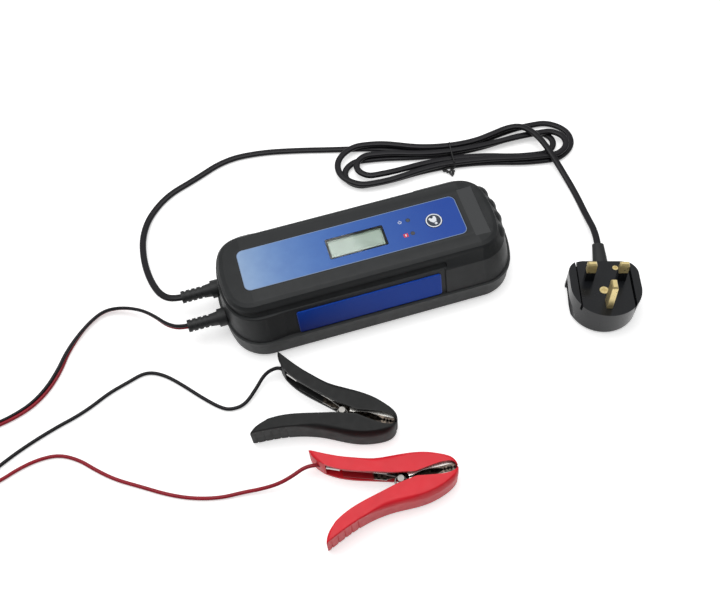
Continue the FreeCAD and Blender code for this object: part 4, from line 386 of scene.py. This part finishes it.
def badge_finish():
    """Printed badge: deep blue, darker towards its lower left, with a thin paler line at either end."""
    material, tree, shader = finish_of("badge_blue", BADGE_BLUE, 0.3, Specular_IOR_Level=0.16)
    x, _, z = position(tree)
    left = spread(tree, x, 1, 0, -60 * MM, 20 * MM)
    low = spread(tree, z, 1, 0, 20 * MM, 38 * MM)
    blue_here = mix(tree, maths(tree, "MULTIPLY", left, low), BADGE_BLUE, (0.003, 0.014, 0.20))
    past = maths(tree, "SUBTRACT", distance(tree, x, BADGE_MIDDLE), BADGE_REACH * MM)
    border = spread(tree, past, 0, 0.45, 0, 0.15 * MM)
    tree.links.new(mix(tree, border, blue_here, (0.10, 0.14, 0.40)), shader.inputs["Base Color"])
    tree.links.new(spread(tree, noise(tree, 20), 0.28, 0.33), shader.inputs["Roughness"])
    roughen(tree, shader, noise(tree, 1.5, 2), 0.002)
    return material


def glass_finish():
    """Clear pane of the display."""
    material, tree, shader = finish_of(
        "window_clear", (0.93, 0.95, 0.94), 0.04, Transmission_Weight=1.0, IOR=1.46,
    )
    tree.links.new(spread(tree, noise(tree, 6), 0.02, 0.08), shader.inputs["Roughness"])
    return material


def display_finish():
    """Unlit liquid crystal display: a slightly uneven pale grey-green."""
    material, tree, shader = finish_of("lcd_grey", LCD_GREY, 0.3)
    tree.links.new(uneven(tree, LCD_GREY, 18, 0.95, 1.05), shader.inputs["Base Color"])
    tree.links.new(spread(tree, noise(tree, 7), 0.24, 0.34), shader.inputs["Roughness"])
    roughen(tree, shader, noise(tree, 0.4, 2), 0.002)
    return material


def paint(material, *nodes):
    """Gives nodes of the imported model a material."""
    for name in nodes:
        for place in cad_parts[name].material_slots:
            place.material = material


case_plastic = case_finish()
soft_black = moulded("soft_black", (0.019, 0.020, 0.021), 0.5, 0.6, 0.012, Specular_IOR_Level=0.35)
cord_black = moulded("cord_black", CORD_BLACK, 0.36, 1.1, 0.010, Specular_IOR_Level=0.24)
cord_red = moulded("cord_red", CORD_RED, 0.36, 1.1, 0.010, Specular_IOR_Level=0.32)
tie_black = moulded("tie_black", (0.015, 0.015, 0.016), 0.45, 0.7, 0.010)
plug_black = moulded("plug_black", (0.010, 0.011, 0.013), 0.24, 0.9, 0.006, Specular_IOR_Level=0.27)
grip_black = moulded("grip_black", GRIP_BLACK, 0.56, 0.4, 0.018, wear=0.05, Specular_IOR_Level=0.26)
grip_red = moulded("grip_red", GRIP_RED, 0.42, 0.4, 0.015, variation=0.05, Specular_IOR_Level=0.32)
button_black = moulded("button_black", (0.010, 0.020, 0.045), 0.34, 0.5, 0.004)
print_white = moulded("print_white", PRINT_WHITE, 0.4, 0.5, 0.002, variation=0.03)
print_red = moulded("print_red", PRINT_RED, 0.4, 0.5, 0.002)
lamp_clear = moulded("lamp_clear", (0.035, 0.05, 0.075), 0.12, 0.8, 0.002, Coat_Weight=0.6)
lamp_red = moulded("lamp_red", (0.045, 0.045, 0.06), 0.12, 0.8, 0.002, Coat_Weight=0.6)
label_blue = label_finish()
badge_blue = badge_finish()
window_clear = glass_finish()
lcd_grey = display_finish()
brass = metal("pin_brass", (0.84, 0.68, 0.32), 0.3, 0.5, stretch=(1, 1, 0.1), metallic=0.65)
screw_steel = metal("screw_steel", (0.62, 0.61, 0.59), 0.30, 0.4)
pin_steel = metal("pin_steel", (0.30, 0.29, 0.275), 0.45, 0.4)
aluminium = metal("sink_aluminium", (0.72, 0.73, 0.74), 0.34, 0.4, stretch=(0.1, 1, 1))
board_green = moulded("board_green", (0.012, 0.11, 0.04), 0.38, 0.8, 0.012)
chip_black = moulded("chip_black", (0.018, 0.018, 0.018), 0.5, 0.5, 0.012)
can_blue = moulded("can_blue", (0.015, 0.05, 0.16), 0.28, 0.9, 0.004)
core_grey = moulded("core_grey", (0.05, 0.05, 0.052), 0.6, 0.5, 0.03)
winding_yellow = moulded("winding_yellow", (0.60, 0.40, 0.04), 0.35, 0.9, 0.02)
ceramic = moulded("fuse_white", (0.80, 0.79, 0.75), 0.2, 0.9, 0.002, variation=0.03)

paint(case_plastic, "top_shell", "bottom_shell")
paint(soft_black, "case_seal", "rubber_feet", "mains_gland", "dc_gland", "cord_sleeve", "lead_splitter")
paint(plug_black, "plug_cover", "plug_base", "pin_sleeves")
paint(brass, "live_pin", "neutral_pin", "earth_pin", "plug_screws")
paint(screw_steel, "case_screws", "board_screws", "display_board_screws")
paint(aluminium, "heat_sink")
# each grip's colour made darker, painted shade on the steel inside its handle
for clamp, shaded_grip_colour in (("black", shaded(GRIP_BLACK, 0.8)), ("red", shaded(GRIP_RED, 0.6))):
    for half, cheek in (("fixed", FIXED_CHEEK), ("moving", MOVING_CHEEK)):
        steel = clamp_metal(f"{clamp}_{half}_steel", *CLAMP_PLACES[clamp], cheek, shaded_grip_colour)
        paint(steel, f"{clamp}_{half}_jaw")
    paint(pin_steel, f"{clamp}_pivot_pin", f"{clamp}_spring")
    paint(screw_steel, f"{clamp}_crimp")
paint(label_blue, "label_film")
paint(button_black, "mode_button")
paint(badge_blue, "side_badge")
paint(window_clear, "display_window")
paint(lcd_grey, "lcd_module")
paint(lamp_clear, "power_lamp")
paint(lamp_red, "fault_lamp")
paint(board_green, "main_board", "display_board")
paint(chip_black, "controller_chip", "power_transistors", "button_switch")
paint(can_blue, "bulk_capacitor", "output_capacitors")
paint(core_grey, "filter_choke", "transformer_core")
paint(winding_yellow, "transformer_winding")
paint(ceramic, "plug_fuse")


# Cords


def line_of(name, points):
    """A smooth open line with control points in millimetres."""
    curve = bpy.data.curves.new(name, "CURVE")
    curve.dimensions = "3D"
    curve.twist_mode = "Z_UP"
    curve.resolution_u = 8
    spline = curve.splines.new("NURBS")
    spline.points.add(len(points) - 1)
    for point, place in zip(spline.points, points):
        point.co = (*(c * MM for c in place), 1)
    spline.order_u = 3
    spline.use_endpoint_u = True
    return new_piece(name, curve)


def round_cord(name, points, radius, material):
    """A round cord along a route."""
    piece = line_of(name, points)
    piece.data.bevel_depth = radius * MM
    piece.data.bevel_resolution = 5
    piece.data.use_fill_caps = True
    piece.data.materials.append(material)
    return piece


def flat_cord(name, points, width, thick, material):
    """A flat cord with round edges along a route, its wide side level."""
    piece = line_of(name, points)
    section = bpy.data.curves.new(name + "_section", "CURVE")
    section.dimensions = "2D"
    outline = section.splines.new("NURBS")
    corners = (
        (1, 0.45), (0.62, 1), (-0.62, 1), (-1, 0.45), (-1, -0.45), (-0.62, -1), (0.62, -1), (1, -0.45),
    )
    outline.points.add(len(corners) - 1)
    for point, (x, y) in zip(outline.points, corners):
        point.co = (x * width / 2 * MM, y * thick / 2 * MM, 0, 1)
    outline.order_u = 3
    outline.use_cyclic_u = True
    shape = new_piece(name + "_section", section)
    shape.hide_render = True
    shape.hide_viewport = True
    piece.data.bevel_mode = "OBJECT"
    piece.data.bevel_object = shape
    piece.data.materials.append(material)
    return piece


def points_along(name, points):
    """Points in metres read from the smooth line of a route."""
    route = line_of(name, points)
    mesh = bpy.data.meshes.new_from_object(route)
    spots = [vertex.co.copy() for vertex in mesh.vertices]
    bpy.data.objects.remove(route)
    return spots


def twin_strands(name, spots, materials, turns):
    """Two round strands side by side along a line of points; the pair turns about the line on its way."""
    rings = STRAND_RINGS
    vertices, faces, owners = [], [], []
    for strand, sign in enumerate((1, -1)):
        start = len(vertices)
        gone = 0
        for n, spot in enumerate(spots):
            ahead = spots[min(n + 1, len(spots) - 1)] - spots[max(n - 1, 0)]
            way = ahead.normalized()
            side = way.cross(Vector((0, 0, 1))).normalized()
            top = side.cross(way)
            if n:
                gone += (spot - spots[n - 1]).length / MM
            lean = np.interp(gone, *turns)
            middle = spot + sign * STRAND_OFFSET * MM * (side * math.cos(lean) + top * math.sin(lean))
            for ring in range(rings):
                angle = 2 * math.pi * ring / rings
                reach = side * math.cos(angle) + top * math.sin(angle)
                vertices.append(middle + reach * STRAND_RADIUS * MM)
            if n:
                first = start + (n - 1) * rings
                second = first + rings
                for ring in range(rings):
                    after = (ring + 1) % rings
                    faces.append((first + ring, first + after, second + after, second + ring))
                    owners.append(strand)
        for end in (start, start + (len(spots) - 1) * rings):
            faces.append(tuple(range(end, end + rings)))
            owners.append(strand)
    mesh = bpy.data.meshes.new(name)
    mesh.from_pydata([tuple(v) for v in vertices], [], faces)
    for material in materials:
        mesh.materials.append(material)
    mesh.polygons.foreach_set("material_index", owners)
    mesh.polygons.foreach_set("use_smooth", [True] * len(faces))
    turn_outwards(mesh)
    return new_piece(name, mesh)


def turn_outwards(mesh):
    """Turns all faces of a closed mesh outwards."""
    work = bmesh.new()
    work.from_mesh(mesh)
    bmesh.ops.recalc_face_normals(work, faces=work.faces)
    work.to_mesh(mesh)
    work.free()


def on_hank(u, v):
    """A point of the hank's own frame in the row frame."""
    turn = math.radians(HANK_TURN)
    x, y = HANK_PLACE
    return x + u * math.cos(turn) - v * math.sin(turn), y + u * math.sin(turn) + v * math.cos(turn)


def hank_points():
    """The hank's path: long loops to both sides, tied at the waist, in two layers of parallel runs.

    Each loop has a side, the distance of its tip, where its two runs lie across the hank, the row in which it
    comes back to the waist, its height and its height there. Its bend lies a little inside the points that
    steer it."""
    low, high = HANK_LOW, HANK_LOW + LAYER_RISE
    points = [(-89.3, 24.7, MAINS_LOW), (-60, 20.3, low), (-28, 11, low), (0, 8.55, low)]
    loops = (
        (1, 98.6, 21, -17, -1.5, low, low),
        (-1, 86, -16, 9, 0.5, low, low),
        (1, 84, 12, -10, -0.5, low, (low + high) / 2),
        (-1, 76, -10, 11, 0.5, high, high),
        (1, 93, 9, -15, -1.5, high, high),
        (-1, 91, -18, 22, 1.5, high, high),
    )
    row = 1.5
    for side, tip, first, last, next_row, height, after in loops:
        half, middle = (first - last) / 2, (first + last) / 2
        deep = 1.2 * abs(half)
        bend = tip - deep
        before = points[-1][2]
        enter, leave = row * COLUMN_PITCH, next_row * COLUMN_PITCH
        rising = before + 0.3 * (height - before)
        points.append((side * 0.36 * bend, enter + 0.22 * (first - enter), rising))
        points.append((side * 0.72 * bend, enter + 0.85 * (first - enter), height))
        points.append((side * (bend - 0.2 * deep), first, height))
        for angle in (67.5, 22.5, -22.5, -67.5):
            reach = HALF_TURN_OF_FOUR * deep * math.cos(math.radians(angle))
            lift = HALF_TURN_OF_FOUR * half * math.sin(math.radians(angle))
            points.append((side * (bend + reach), middle + lift, height))
        points.append((side * (bend - 0.2 * deep), last, height))
        points.append((side * 0.72 * bend, leave + 0.85 * (last - leave), height))
        rising = height + 0.7 * (after - height)
        points.append((side * 0.36 * bend, leave + 0.22 * (last - leave), rising))
        points.append((0, leave, after))
        row = next_row
    points.append((22, 9.6, high + 0.3))
    return [(*on_hank(u, v), z) for u, v, z in points]


mains_in = [
    (-126.2, 12.3, 18.8), (-137.2, 12.3, 18.8), (-146, 18.8, 17.3), (-151.3, 33, 13.8), (-154.3, 51, 9.8),
    (-154.6, 69, 6.6), (-152.3, 86.5, 3.9), (-144.5, 104.6, 1.65), (-127.3, 120.6, 1.65), (-104.6, 129, 1.65),
    (-76.3, 141.7, 1.65), (-47.4, 140.3, 1.65), (-15.7, 132.3, 1.65),
]
mains_out = [
    (137.1, 95.3, 7.4), (149.3, 96.9, 8.2), (158.5, 94.2, 10.2), (164.8, 87.6, 10.4), (168.6, 79, 10.4),
    (171, 69.5, 10), (173, 60, 8), (174.9, 50.5, 5.5), (176.6, 40, 3.2), (177.8, 28, 1.8), (177.9, 16, 1.65),
    (177.2, 4.5, 2.4), (176.2, -6, 4.6), (175.1, -15, 7.2), (172.3, -27.4, 9.4), (168.3, -39.8, 9.4),
]
mains_route = mains_in + hank_points() + mains_out
mains_cord = flat_cord("mains_cord", mains_route, MAINS_WIDTH, MAINS_THICK, cord_black)
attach(mains_cord, "charger")
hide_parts("mains_cord_in", "mains_hank", "mains_cord_out")

twin_route = [
    (-126.2, -12.3, 18.8), (-137.2, -12.3, 18.8), (-146.6, -5.4, 16.6), (-153.6, 5.2, 13.8),
    (-161.4, 14.8, 10.6), (-170.6, 22.2, 7.3), (-180.8, 27.2, 4.7), (-190.6, 28.5, 3.2), (-199.6, 24.6, 2.6),
    (-209.6, 16.5, 2.5), (-221.1, 3, 2.5), (-228.2, -9.7, 2.3), (-238, -22, 2.1), (-250, -31, 1.8),
    (-264, -36, 1.5), (-278, -38.5, 1.3), (-295, -39.2, 1.6), (-310, -37.5, 2.2),
]


def coil_points(low, rise):
    """The put-away coil: half turns that wind inwards, climb, and wind outwards again."""
    inward = [COIL_RADIUS - n * COLUMN_PITCH / 2 for n in range(6)]
    outward = [COIL_RADIUS - n * COLUMN_PITCH / 2 for n in range(4, -1, -1)]
    points, across, side = [], -COIL_RADIUS, 1
    for layer, radii in enumerate((inward, [inward[-1] - 1.3] + outward)):
        for n, radius in enumerate(radii):
            middle = across + side * radius
            climb = layer == 1 and n == 0
            for step in range(6):
                angle = math.pi * (step + 0.5) / 6
                height = low + rise * (angle / math.pi if climb else layer)
                reach = side * HALF_TURN_OF_SIX * radius
                x, y = COIL_ALONG - reach * math.sin(angle), middle - reach * math.cos(angle)
                points.append((x, y, height))
            across += side * 2 * radius
            side = -side
    return points


coil_tail = [
    (COIL_ALONG - 22, -40.5, 5.5), (COIL_ALONG - 38, -45, 3.4), (COIL_ALONG - 48, -54, 3),
    (COIL_ALONG - 48.85, -66, 3), (COIL_ALONG - 43, -75, 3), (COIL_ALONG - 30, -80, 3),
    (COIL_ALONG - 14, -80, 3), (COIL_ALONG - 8, -80, 3),
]
twin_points = points_along("twin_line", twin_route + coil_points(COIL_LOW, COIL_RISE) + coil_tail)
turn_distances = (0, 25, 55, 100, 120, 140, 165, 185)
turn_angles = [math.radians(angle) for angle in (84, 92, 118, 116, 84, 45, 15, 0)]
strand_materials = (cord_black, cord_red)
twin_lead = twin_strands("twin_lead_run", twin_points, strand_materials, (turn_distances, turn_angles))
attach(twin_lead, "charger")
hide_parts("twin_lead", "dc_coil")

black_route = [
    (-311, -77, 3), (-300, -77, 3), (-289, -75.8, 1.8), (-276, -69, 1.3), (-263, -62.6, 1.3),
    (-249, -57, 1.3), (-233.2, -51.7, 1.3), (-222.5, -48.9, 1.3), (-210.5, -44.4, 1.3), (-196.5, -37.3, 1.3),
    (-183.2, -33.4, 1.3), (-171.9, -29.7, 1.3), (-164, -31.3, 1.3), (-155.3, -37.3, 1.3),
    (-145.8, -47.6, 1.3), (-134.3, -61.5, 1.3), (-124.3, -71.8, 1.3), (-117.9, -75.3, 1.3), (-108, -75, 1.8),
    (-98.5, -67.3, 3.8), (-89.6, -58.9, 7), (-81.7, -57.6, 9.4), (-76.8, -59.6, 10), (-73.6, -64.0, 10),
]
red_route = [
    (-311, -83, 3), (-300, -83, 3), (-289, -82, 1.8), (-276, -79.5, 1.3), (-263, -74.6, 1.3),
    (-249, -72, 1.3), (-235.5, -73, 1.3), (-223, -80.8, 1.3), (-213.2, -91.2, 1.3), (-201.6, -101.6, 1.3),
    (-186.3, -111.3, 1.3), (-170.2, -121.9, 1.3), (-154.3, -129.6, 1.3), (-137.2, -134.3, 1.4),
    (-122.5, -135.3, 2.4), (-110, -137.4, 4.4), (-98.5, -138.2, 6.8), (-88.5, -136.4, 8.8),
    (-79.7, -133.4, 9.9), (-70.8, -134.3, 10), (-65.9, -136.8, 10),
]
for colour, route, material in (("black", black_route, cord_black), ("red", red_route, cord_red)):
    lead = round_cord(f"{colour}_single", route, LEAD_RADIUS, material)
    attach(lead, "charger")
    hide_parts(f"{colour}_lead")


# Ties of the hank and the coil


def wire_tie(name, node, middle, turn, half, low, high, tails):
    """A wire tie: a band round the bundle, and two ends twisted together into a short tuft in front.

    half is half the width of the bundle, and the band runs from the height low to the height high."""
    place = laid(middle, turn)
    loop = []
    for side_x, side_z in ((1, 1), (-1, 1), (-1, -1), (1, -1)):
        across, height = side_x * half, high if side_z > 0 else low
        first = (TIE_LEAN * side_z, across - side_x * TIE_CORNER, height)
        second = (TIE_LEAN * side_z, across, height - side_z * TIE_CORNER)
        loop.extend((first, second) if side_x == side_z else (second, first))
    made = []
    for n, path in enumerate([loop + loop[:1], *tails]):
        spots = [place @ (Vector(spot) * MM) / MM for spot in path]
        piece = round_cord(f"{name}_{n}", spots, TAIL_RADIUS if n else TIE_RADIUS, tie_black)
        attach(piece, "charger")
        made.append(piece)
    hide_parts(node)
    return made


def tuft(front):
    """The two ends of a tie, from its knot at the front of the bundle."""
    left = (
        (0.8, front + 0.8, 3.2), (-3.4, front - 0.1, 3.4), (-8.4, front - 0.2, 2.2), (-7.8, front - 1.6, 1.1),
        (-5, front - 1.5, 2.3), (-5.8, front - 3.2, 1.1), (-3, front - 3, 2.6), (-3.8, front - 5, 1.1),
        (-1.4, front - 6, 1.3),
    )
    right = (
        (0.8, front + 0.8, 4.4), (1.2, front - 1, 3.4), (-3.2, front - 1.2, 1.3), (1, front - 2.7, 1.4),
        (-2, front - 3.4, 1.1), (-0.2, front - 4.8, 1.3), (-2.6, front - 6.8, 1.1),
    )
    return left, right


hank_band = wire_tie("hank_wire", "hank_tie", HANK_PLACE, HANK_TURN, 10.6, 0.75, 9.2, tuft(-11.2))
coil_band = wire_tie("coil_wire", "coil_tie", (COIL_ALONG, -31), 0, 9.5, 0.75, 9.6, tuft(-10.1))


# Grips and springs of the clamps


def smooth_line(points, count):
    """Points along a smooth curve through a few points, a natural cubic spline of the distance along it."""
    data = np.array(points, float)
    steps = np.linalg.norm(np.diff(data, axis=0), axis=1)
    at = np.concatenate(([0], np.cumsum(steps)))
    size = len(data)
    system, right = np.eye(size), np.zeros((size, 2))
    for n in range(1, size - 1):
        system[n, n - 1:n + 2] = steps[n - 1], 2 * (steps[n - 1] + steps[n]), steps[n]
        right[n] = 6 * ((data[n + 1] - data[n]) / steps[n] - (data[n] - data[n - 1]) / steps[n - 1])
    bends = np.linalg.solve(system, right)
    result = []
    for place in np.linspace(0, at[-1], count):
        n = min(int(np.searchsorted(at, place, "right")) - 1, size - 2)
        a, b = at[n + 1] - place, place - at[n]
        h = steps[n]
        result.append(
            (bends[n] * a ** 3 + bends[n + 1] * b ** 3) / (6 * h)
            + (data[n] / h - bends[n] * h / 6) * a + (data[n + 1] / h - bends[n + 1] * h / 6) * b
        )
    return np.array(result)


def evenly(line, shares):
    """Points at shares of a line's length."""
    steps = np.linalg.norm(np.diff(line, axis=0), axis=1)
    at = np.concatenate(([0], np.cumsum(steps))) / steps.sum()
    return np.column_stack([np.interp(shares, at, line[:, k]) for k in (0, 1)])


def groove_depth(along):
    """Depth of the finger grooves across a grip's back at a distance from the tip."""
    depth = 0.0
    for n in range(GROOVE_COUNT):
        away = abs(along - GROOVE_START - n * GROOVE_PITCH) / (GROOVE_WIDTH / 2)
        depth = max(depth, GROOVE_DEPTH * (1 - away ** 4) if away < 1 else 0)
    return depth


def grip_section(width, along, share):
    """Outer and inner line of a grip's section: from the upper edge over cheek, corner and back to below.

    The section is fuller beside the jaws, rounder at the corner of the handle, and lower at the two ends."""
    jaws = np.interp(along, (3, 10, 26, 42), (0.3, 1, 1, 0))
    handle = np.interp(along, (52, 64), (0, 1))
    # how far in and how far down the rounding of the upper corner reaches, and how full it is
    corner = min(np.interp(handle, (0, 1), (3.4 - jaws, 1.3)), 0.55 * width)
    drop = np.interp(handle, (0, 1), (4.4 + 1.4 * jaws, 1.3))
    power = 2 - 0.6 * jaws
    # how much lower the section is towards the nose and at the very end of the handle
    nose = max(0, 1 - share / 0.085)
    tip = 5 * (1 - math.sqrt(1 - nose ** 2)) + 1.2 * max(0, (share - 0.975) / 0.025) ** 2
    top, bottom = CLAMP_WIDTH - tip, tip * 0.5
    low = bottom + 1.2
    points = [((width - corner) * n / 10, top) for n in range(10)]
    for n in range(9):
        angle = math.pi / 2 * n / 8
        out = corner * math.sin(angle) ** (2 / power)
        down = drop * math.cos(angle) ** (2 / power)
        points.append((width - corner + out, top - drop + down))
    back_start = len(points) - 1
    points.extend((width, top - drop + (low - top + drop) * n / 12) for n in range(1, 13))
    points.append((width - 0.35, bottom + 0.35))
    points.append((width - 1.2, bottom))
    points.extend(((width - 1.2) * n / 5, bottom) for n in range(4, -1, -1))
    outer = np.array(points)
    ahead = np.roll(outer, -1, axis=0) - np.roll(outer, 1, axis=0)
    ahead[0], ahead[-1] = outer[1] - outer[0], outer[-1] - outer[-2]
    ahead /= np.linalg.norm(ahead, axis=1)[:, None]
    thick = min(GRIP_SHELL, 0.4 * width)
    inner = outer + thick * np.column_stack((ahead[:, 1], -ahead[:, 0]))
    inner[0, 0] = inner[-1, 0] = 0
    inner[:, 0] = np.clip(inner[:, 0], 0, width - thick)
    inner[:, 1] = np.clip(inner[:, 1], bottom + thick, top - thick)
    fade = np.clip((top - drop - 0.8 - outer[:, 1]) / 1.2, 0, 1)
    fade[:back_start] = 0
    fade[-5:] = 0
    outer[:, 0] -= groove_depth(along) * fade
    return outer, inner


def grip(colour, half, side, body, material):
    """Moulded grip of a clamp's half: a channel with closed ends, swept from the tip to the handle's end.

    The sections stand closest together where the grooves are. The channel is hollow from the first to the
    last of the rings of its room."""
    tip, cheek, handle = np.linspace(0, 0.08, 14), np.linspace(0.09, 0.62, 46), np.linspace(0.622, 1, 190)
    shares = np.concatenate((tip, cheek, handle))
    back = evenly(smooth_line(CLAMP_BACK, 200), shares)
    mouth = np.vstack([[CLAMP_BACK[0]], smooth_line(CLAMP_MOUTH, 60), smooth_line(CLAMP_HANDLE, 80)])
    edge = evenly(mouth, shares)
    spot = laid(*CLAMP_PLACES[colour])
    work = bmesh.new()
    outside, inside = [], []
    for share, outer_spot, inner_spot in zip(shares, back, edge):
        width = max(0.4, float(np.linalg.norm(outer_spot - inner_spot)))
        way = (outer_spot - inner_spot) / width
        bulge = GRIP_END_BULGE * max(0, (share - 0.93) / 0.07) ** 2
        for row, line in zip((outside, inside), grip_section(width, float(outer_spot[0]), share)):
            verts = []
            for reach, height in line:
                along, across = inner_spot + way * reach
                along += bulge * math.sin(math.pi * min(1, max(0, reach / width)))
                verts.append(work.verts.new(spot @ (Vector((-along, side * across, height)) * MM)))
            row.append(verts)
    last = len(shares) - 1
    first_room, last_room = 5, last - 10
    count = len(outside[0])
    for n in range(last):
        for k in range(count - 1):
            work.faces.new((outside[n][k], outside[n][k + 1], outside[n + 1][k + 1], outside[n + 1][k]))
        if first_room <= n < last_room:
            for k in range(count - 1):
                work.faces.new((inside[n][k], inside[n + 1][k], inside[n + 1][k + 1], inside[n][k + 1]))
            for k in (0, -1):
                work.faces.new((outside[n][k], outside[n + 1][k], inside[n + 1][k], inside[n][k]))
        else:
            work.faces.new((outside[n][0], outside[n + 1][0], outside[n + 1][-1], outside[n][-1]))
    work.faces.new(outside[0])
    work.faces.new(outside[-1])
    for n in (first_room, last_room):
        work.faces.new(inside[n])
        work.faces.new((outside[n][0], inside[n][0], inside[n][-1], outside[n][-1]))
    spare = [vert for vert in work.verts if not vert.link_faces]
    bmesh.ops.delete(work, geom=spare, context="VERTS")
    bmesh.ops.recalc_face_normals(work, faces=work.faces)
    mesh = mesh_of(f"{colour}_{half}_shell", work)
    mesh.polygons.foreach_set("use_smooth", [True] * len(mesh.polygons))
    mesh.set_sharp_from_angle(angle=math.radians(35))
    mesh.materials.append(material)
    piece = new_piece(mesh.name, mesh)
    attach(piece, body)
    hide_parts(f"{colour}_{half}_grip")


def spring(colour):
    """Spring of a clamp: a copy of the imported model's spring, with its placing built into the mesh."""
    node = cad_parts[f"{colour}_spring"]
    mesh = node.data.copy()
    mesh.transform(node.matrix_world)
    piece = new_piece(f"{colour}_torsion_spring", mesh)
    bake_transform(piece)
    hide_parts(node.name)


for colour, material in (("black", grip_black), ("red", grip_red)):
    grip(colour, "fixed", 1, "charger", material)
    grip(colour, "moving", -1, f"{colour}_half", material)
    spring(colour)


# Printed marks of the label and the button


def printed(name, outlines, height, material, body="charger"):
    """Flat marks of closed outlines, a hair above a surface."""
    work = bmesh.new()
    for outline in outlines:
        low = [work.verts.new((x * MM, y * MM, height * MM)) for x, y in outline]
        high = [work.verts.new((x * MM, y * MM, (height + PRINT_THICK) * MM)) for x, y in outline]
        work.faces.new(list(reversed(low)))
        work.faces.new(high)
        count = len(outline)
        for n in range(count):
            after = (n + 1) % count
            work.faces.new((low[n], low[after], high[after], high[n]))
    mesh = mesh_of(name, work)
    mesh.materials.append(material)
    piece = new_piece(name, mesh)
    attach(piece, body)


def ring(x, y, inner, outer, start=0, end=360, steps=48):
    """Quads of a ring, or of a part of it."""
    angles = [math.radians(start + (end - start) * n / steps) for n in range(steps + 1)]
    quads = []
    for here, there in zip(angles, angles[1:]):
        corners = ((inner, here), (outer, here), (outer, there), (inner, there))
        quads.append([(x + reach * math.cos(angle), y + reach * math.sin(angle)) for reach, angle in corners])
    return quads


def oblong(left, low, right, high):
    """Outline of a mark with four square corners."""
    return (left, low), (right, low), (right, high), (left, high)


def turned(outline, x, y, angle=0):
    """An outline turned and moved to a place."""
    c, s = math.cos(math.radians(angle)), math.sin(math.radians(angle))
    return [(x + u * c - v * s, y + u * s + v * c) for u, v in outline]


power_ring = ring(*POWER_SIGN_PLACE, 0.85, 1.25, 130, 410, 24)
power_stroke = turned(oblong(-0.2, 0.3, 0.2, 1.7), *POWER_SIGN_PLACE)
printed("power_mark", power_ring + [power_stroke], LABEL_TOP, print_white)
fault_patch = turned(oblong(-1.7, -1.5, 1.7, 1.5), *FAULT_SIGN_PLACE)
printed("fault_mark", [fault_patch], LABEL_TOP, print_red)
fault_stroke = turned(((-0.35, -0.9), (0.35, -0.9), (0.45, 0.9), (-0.45, 0.9)), *FAULT_SIGN_PLACE)
printed("fault_sign", [fault_stroke], LABEL_TOP + PRINT_THICK, print_white)
printed("button_ring", ring(*BUTTON_PLACE, 4.95, 5.75), BUTTON_TOP, print_white, "button")
button_parts = (
    ((-2.7, 2.9), (-1.3, 3.5), (-0.5, 2.2), (0.6, 2.2), (1.5, 3.4), (2.8, 2.7), (2.4, 0.4), (-2.4, 0.4)),
    ((-2.4, 0.4), (2.4, 0.4), (1.2, -1.4), (-1.2, -1.4)),
    ((-1.0, -1.9), (1.0, -1.9), (0.8, -3.6), (-0.8, -3.6)),
)
button_sign = [turned(part[::-1], *BUTTON_PLACE, 18) for part in button_parts]
printed("button_mark", button_sign, BUTTON_TOP, print_white, "button")

# Floor and lights, in metres, and the camera


def white_floor(size, depth):
    """A large white floor a hair below the object, which also glows a little where the camera sees it."""
    bpy.ops.mesh.primitive_plane_add(size=size, location=(0, 0, -depth))
    floor = bpy.context.object
    floor.name = "floor"
    material, tree, shader = finish_of("floor_paint", (0.86, 0.86, 0.86), 0.8, Specular_IOR_Level=0.0)
    rays = tree.nodes.new("ShaderNodeLightPath")
    seen = maths(tree, "MAXIMUM", rays.outputs["Is Camera Ray"], rays.outputs["Is Glossy Ray"])
    seen = maths(tree, "MAXIMUM", seen, rays.outputs["Is Transmission Ray"])
    shader.inputs["Emission Color"].default_value = (1, 1, 1, 1)
    tree.links.new(maths(tree, "MULTIPLY", seen, 0.5), shader.inputs["Emission Strength"])
    floor.data.materials.append(material)


def studio():
    """A white room for the camera; for the object, soft light from above and behind, and a dim front."""
    world = bpy.data.worlds.new("studio")
    bpy.context.scene.world = world
    world.use_nodes = True
    tree = world.node_tree
    shader = tree.nodes["Background"]
    way = tree.nodes.new("ShaderNodeTexCoord").outputs["Generated"]
    split = node_of(tree, "ShaderNodeSeparateXYZ", Vector=way)
    lift = maths(tree, "ADD", split.outputs["Z"], maths(tree, "MULTIPLY", split.outputs["Y"], 0.35))
    sky = spread(tree, lift, 0.06, 0.80, 0.30, 0.85)
    shown = tree.nodes.new("ShaderNodeLightPath").outputs["Is Camera Ray"]
    dimmed = maths(tree, "MULTIPLY", sky, maths(tree, "SUBTRACT", 1.0, shown))
    tree.links.new(maths(tree, "ADD", dimmed, shown), shader.inputs["Strength"])
    shader.inputs["Color"].default_value = (1, 1, 1, 1)


def soft_light(name, place, size, power):
    """A large square lamp that shines at the middle of the object."""
    lamp = bpy.data.lights.new(name, "AREA")
    lamp.shape = "SQUARE"
    lamp.size = size
    lamp.energy = power
    piece = new_piece(name, lamp)
    piece.location = place
    piece.rotation_euler = (-Vector(place)).to_track_quat("-Z", "Y").to_euler()


def main_camera():
    """The camera of the photograph."""
    data = bpy.data.cameras.new("camera")
    data.lens = CAMERA_LENS
    data.sensor_width = SENSOR
    camera = new_piece("camera", data)
    camera.location = [c * MM for c in CAMERA_PLACE]
    camera.rotation_euler = [math.radians(angle) for angle in CAMERA_TURN]
    bpy.context.scene.camera = camera


white_floor(size=8, depth=0.0002)
studio()
soft_light("top_light", (-0.1, 0.2, 1.4), size=1.1, power=9)
soft_light("left_light", (-1.2, 0.2, 0.6), size=0.7, power=1)
main_camera()
bpy.context.scene.view_settings.view_transform = "Standard"
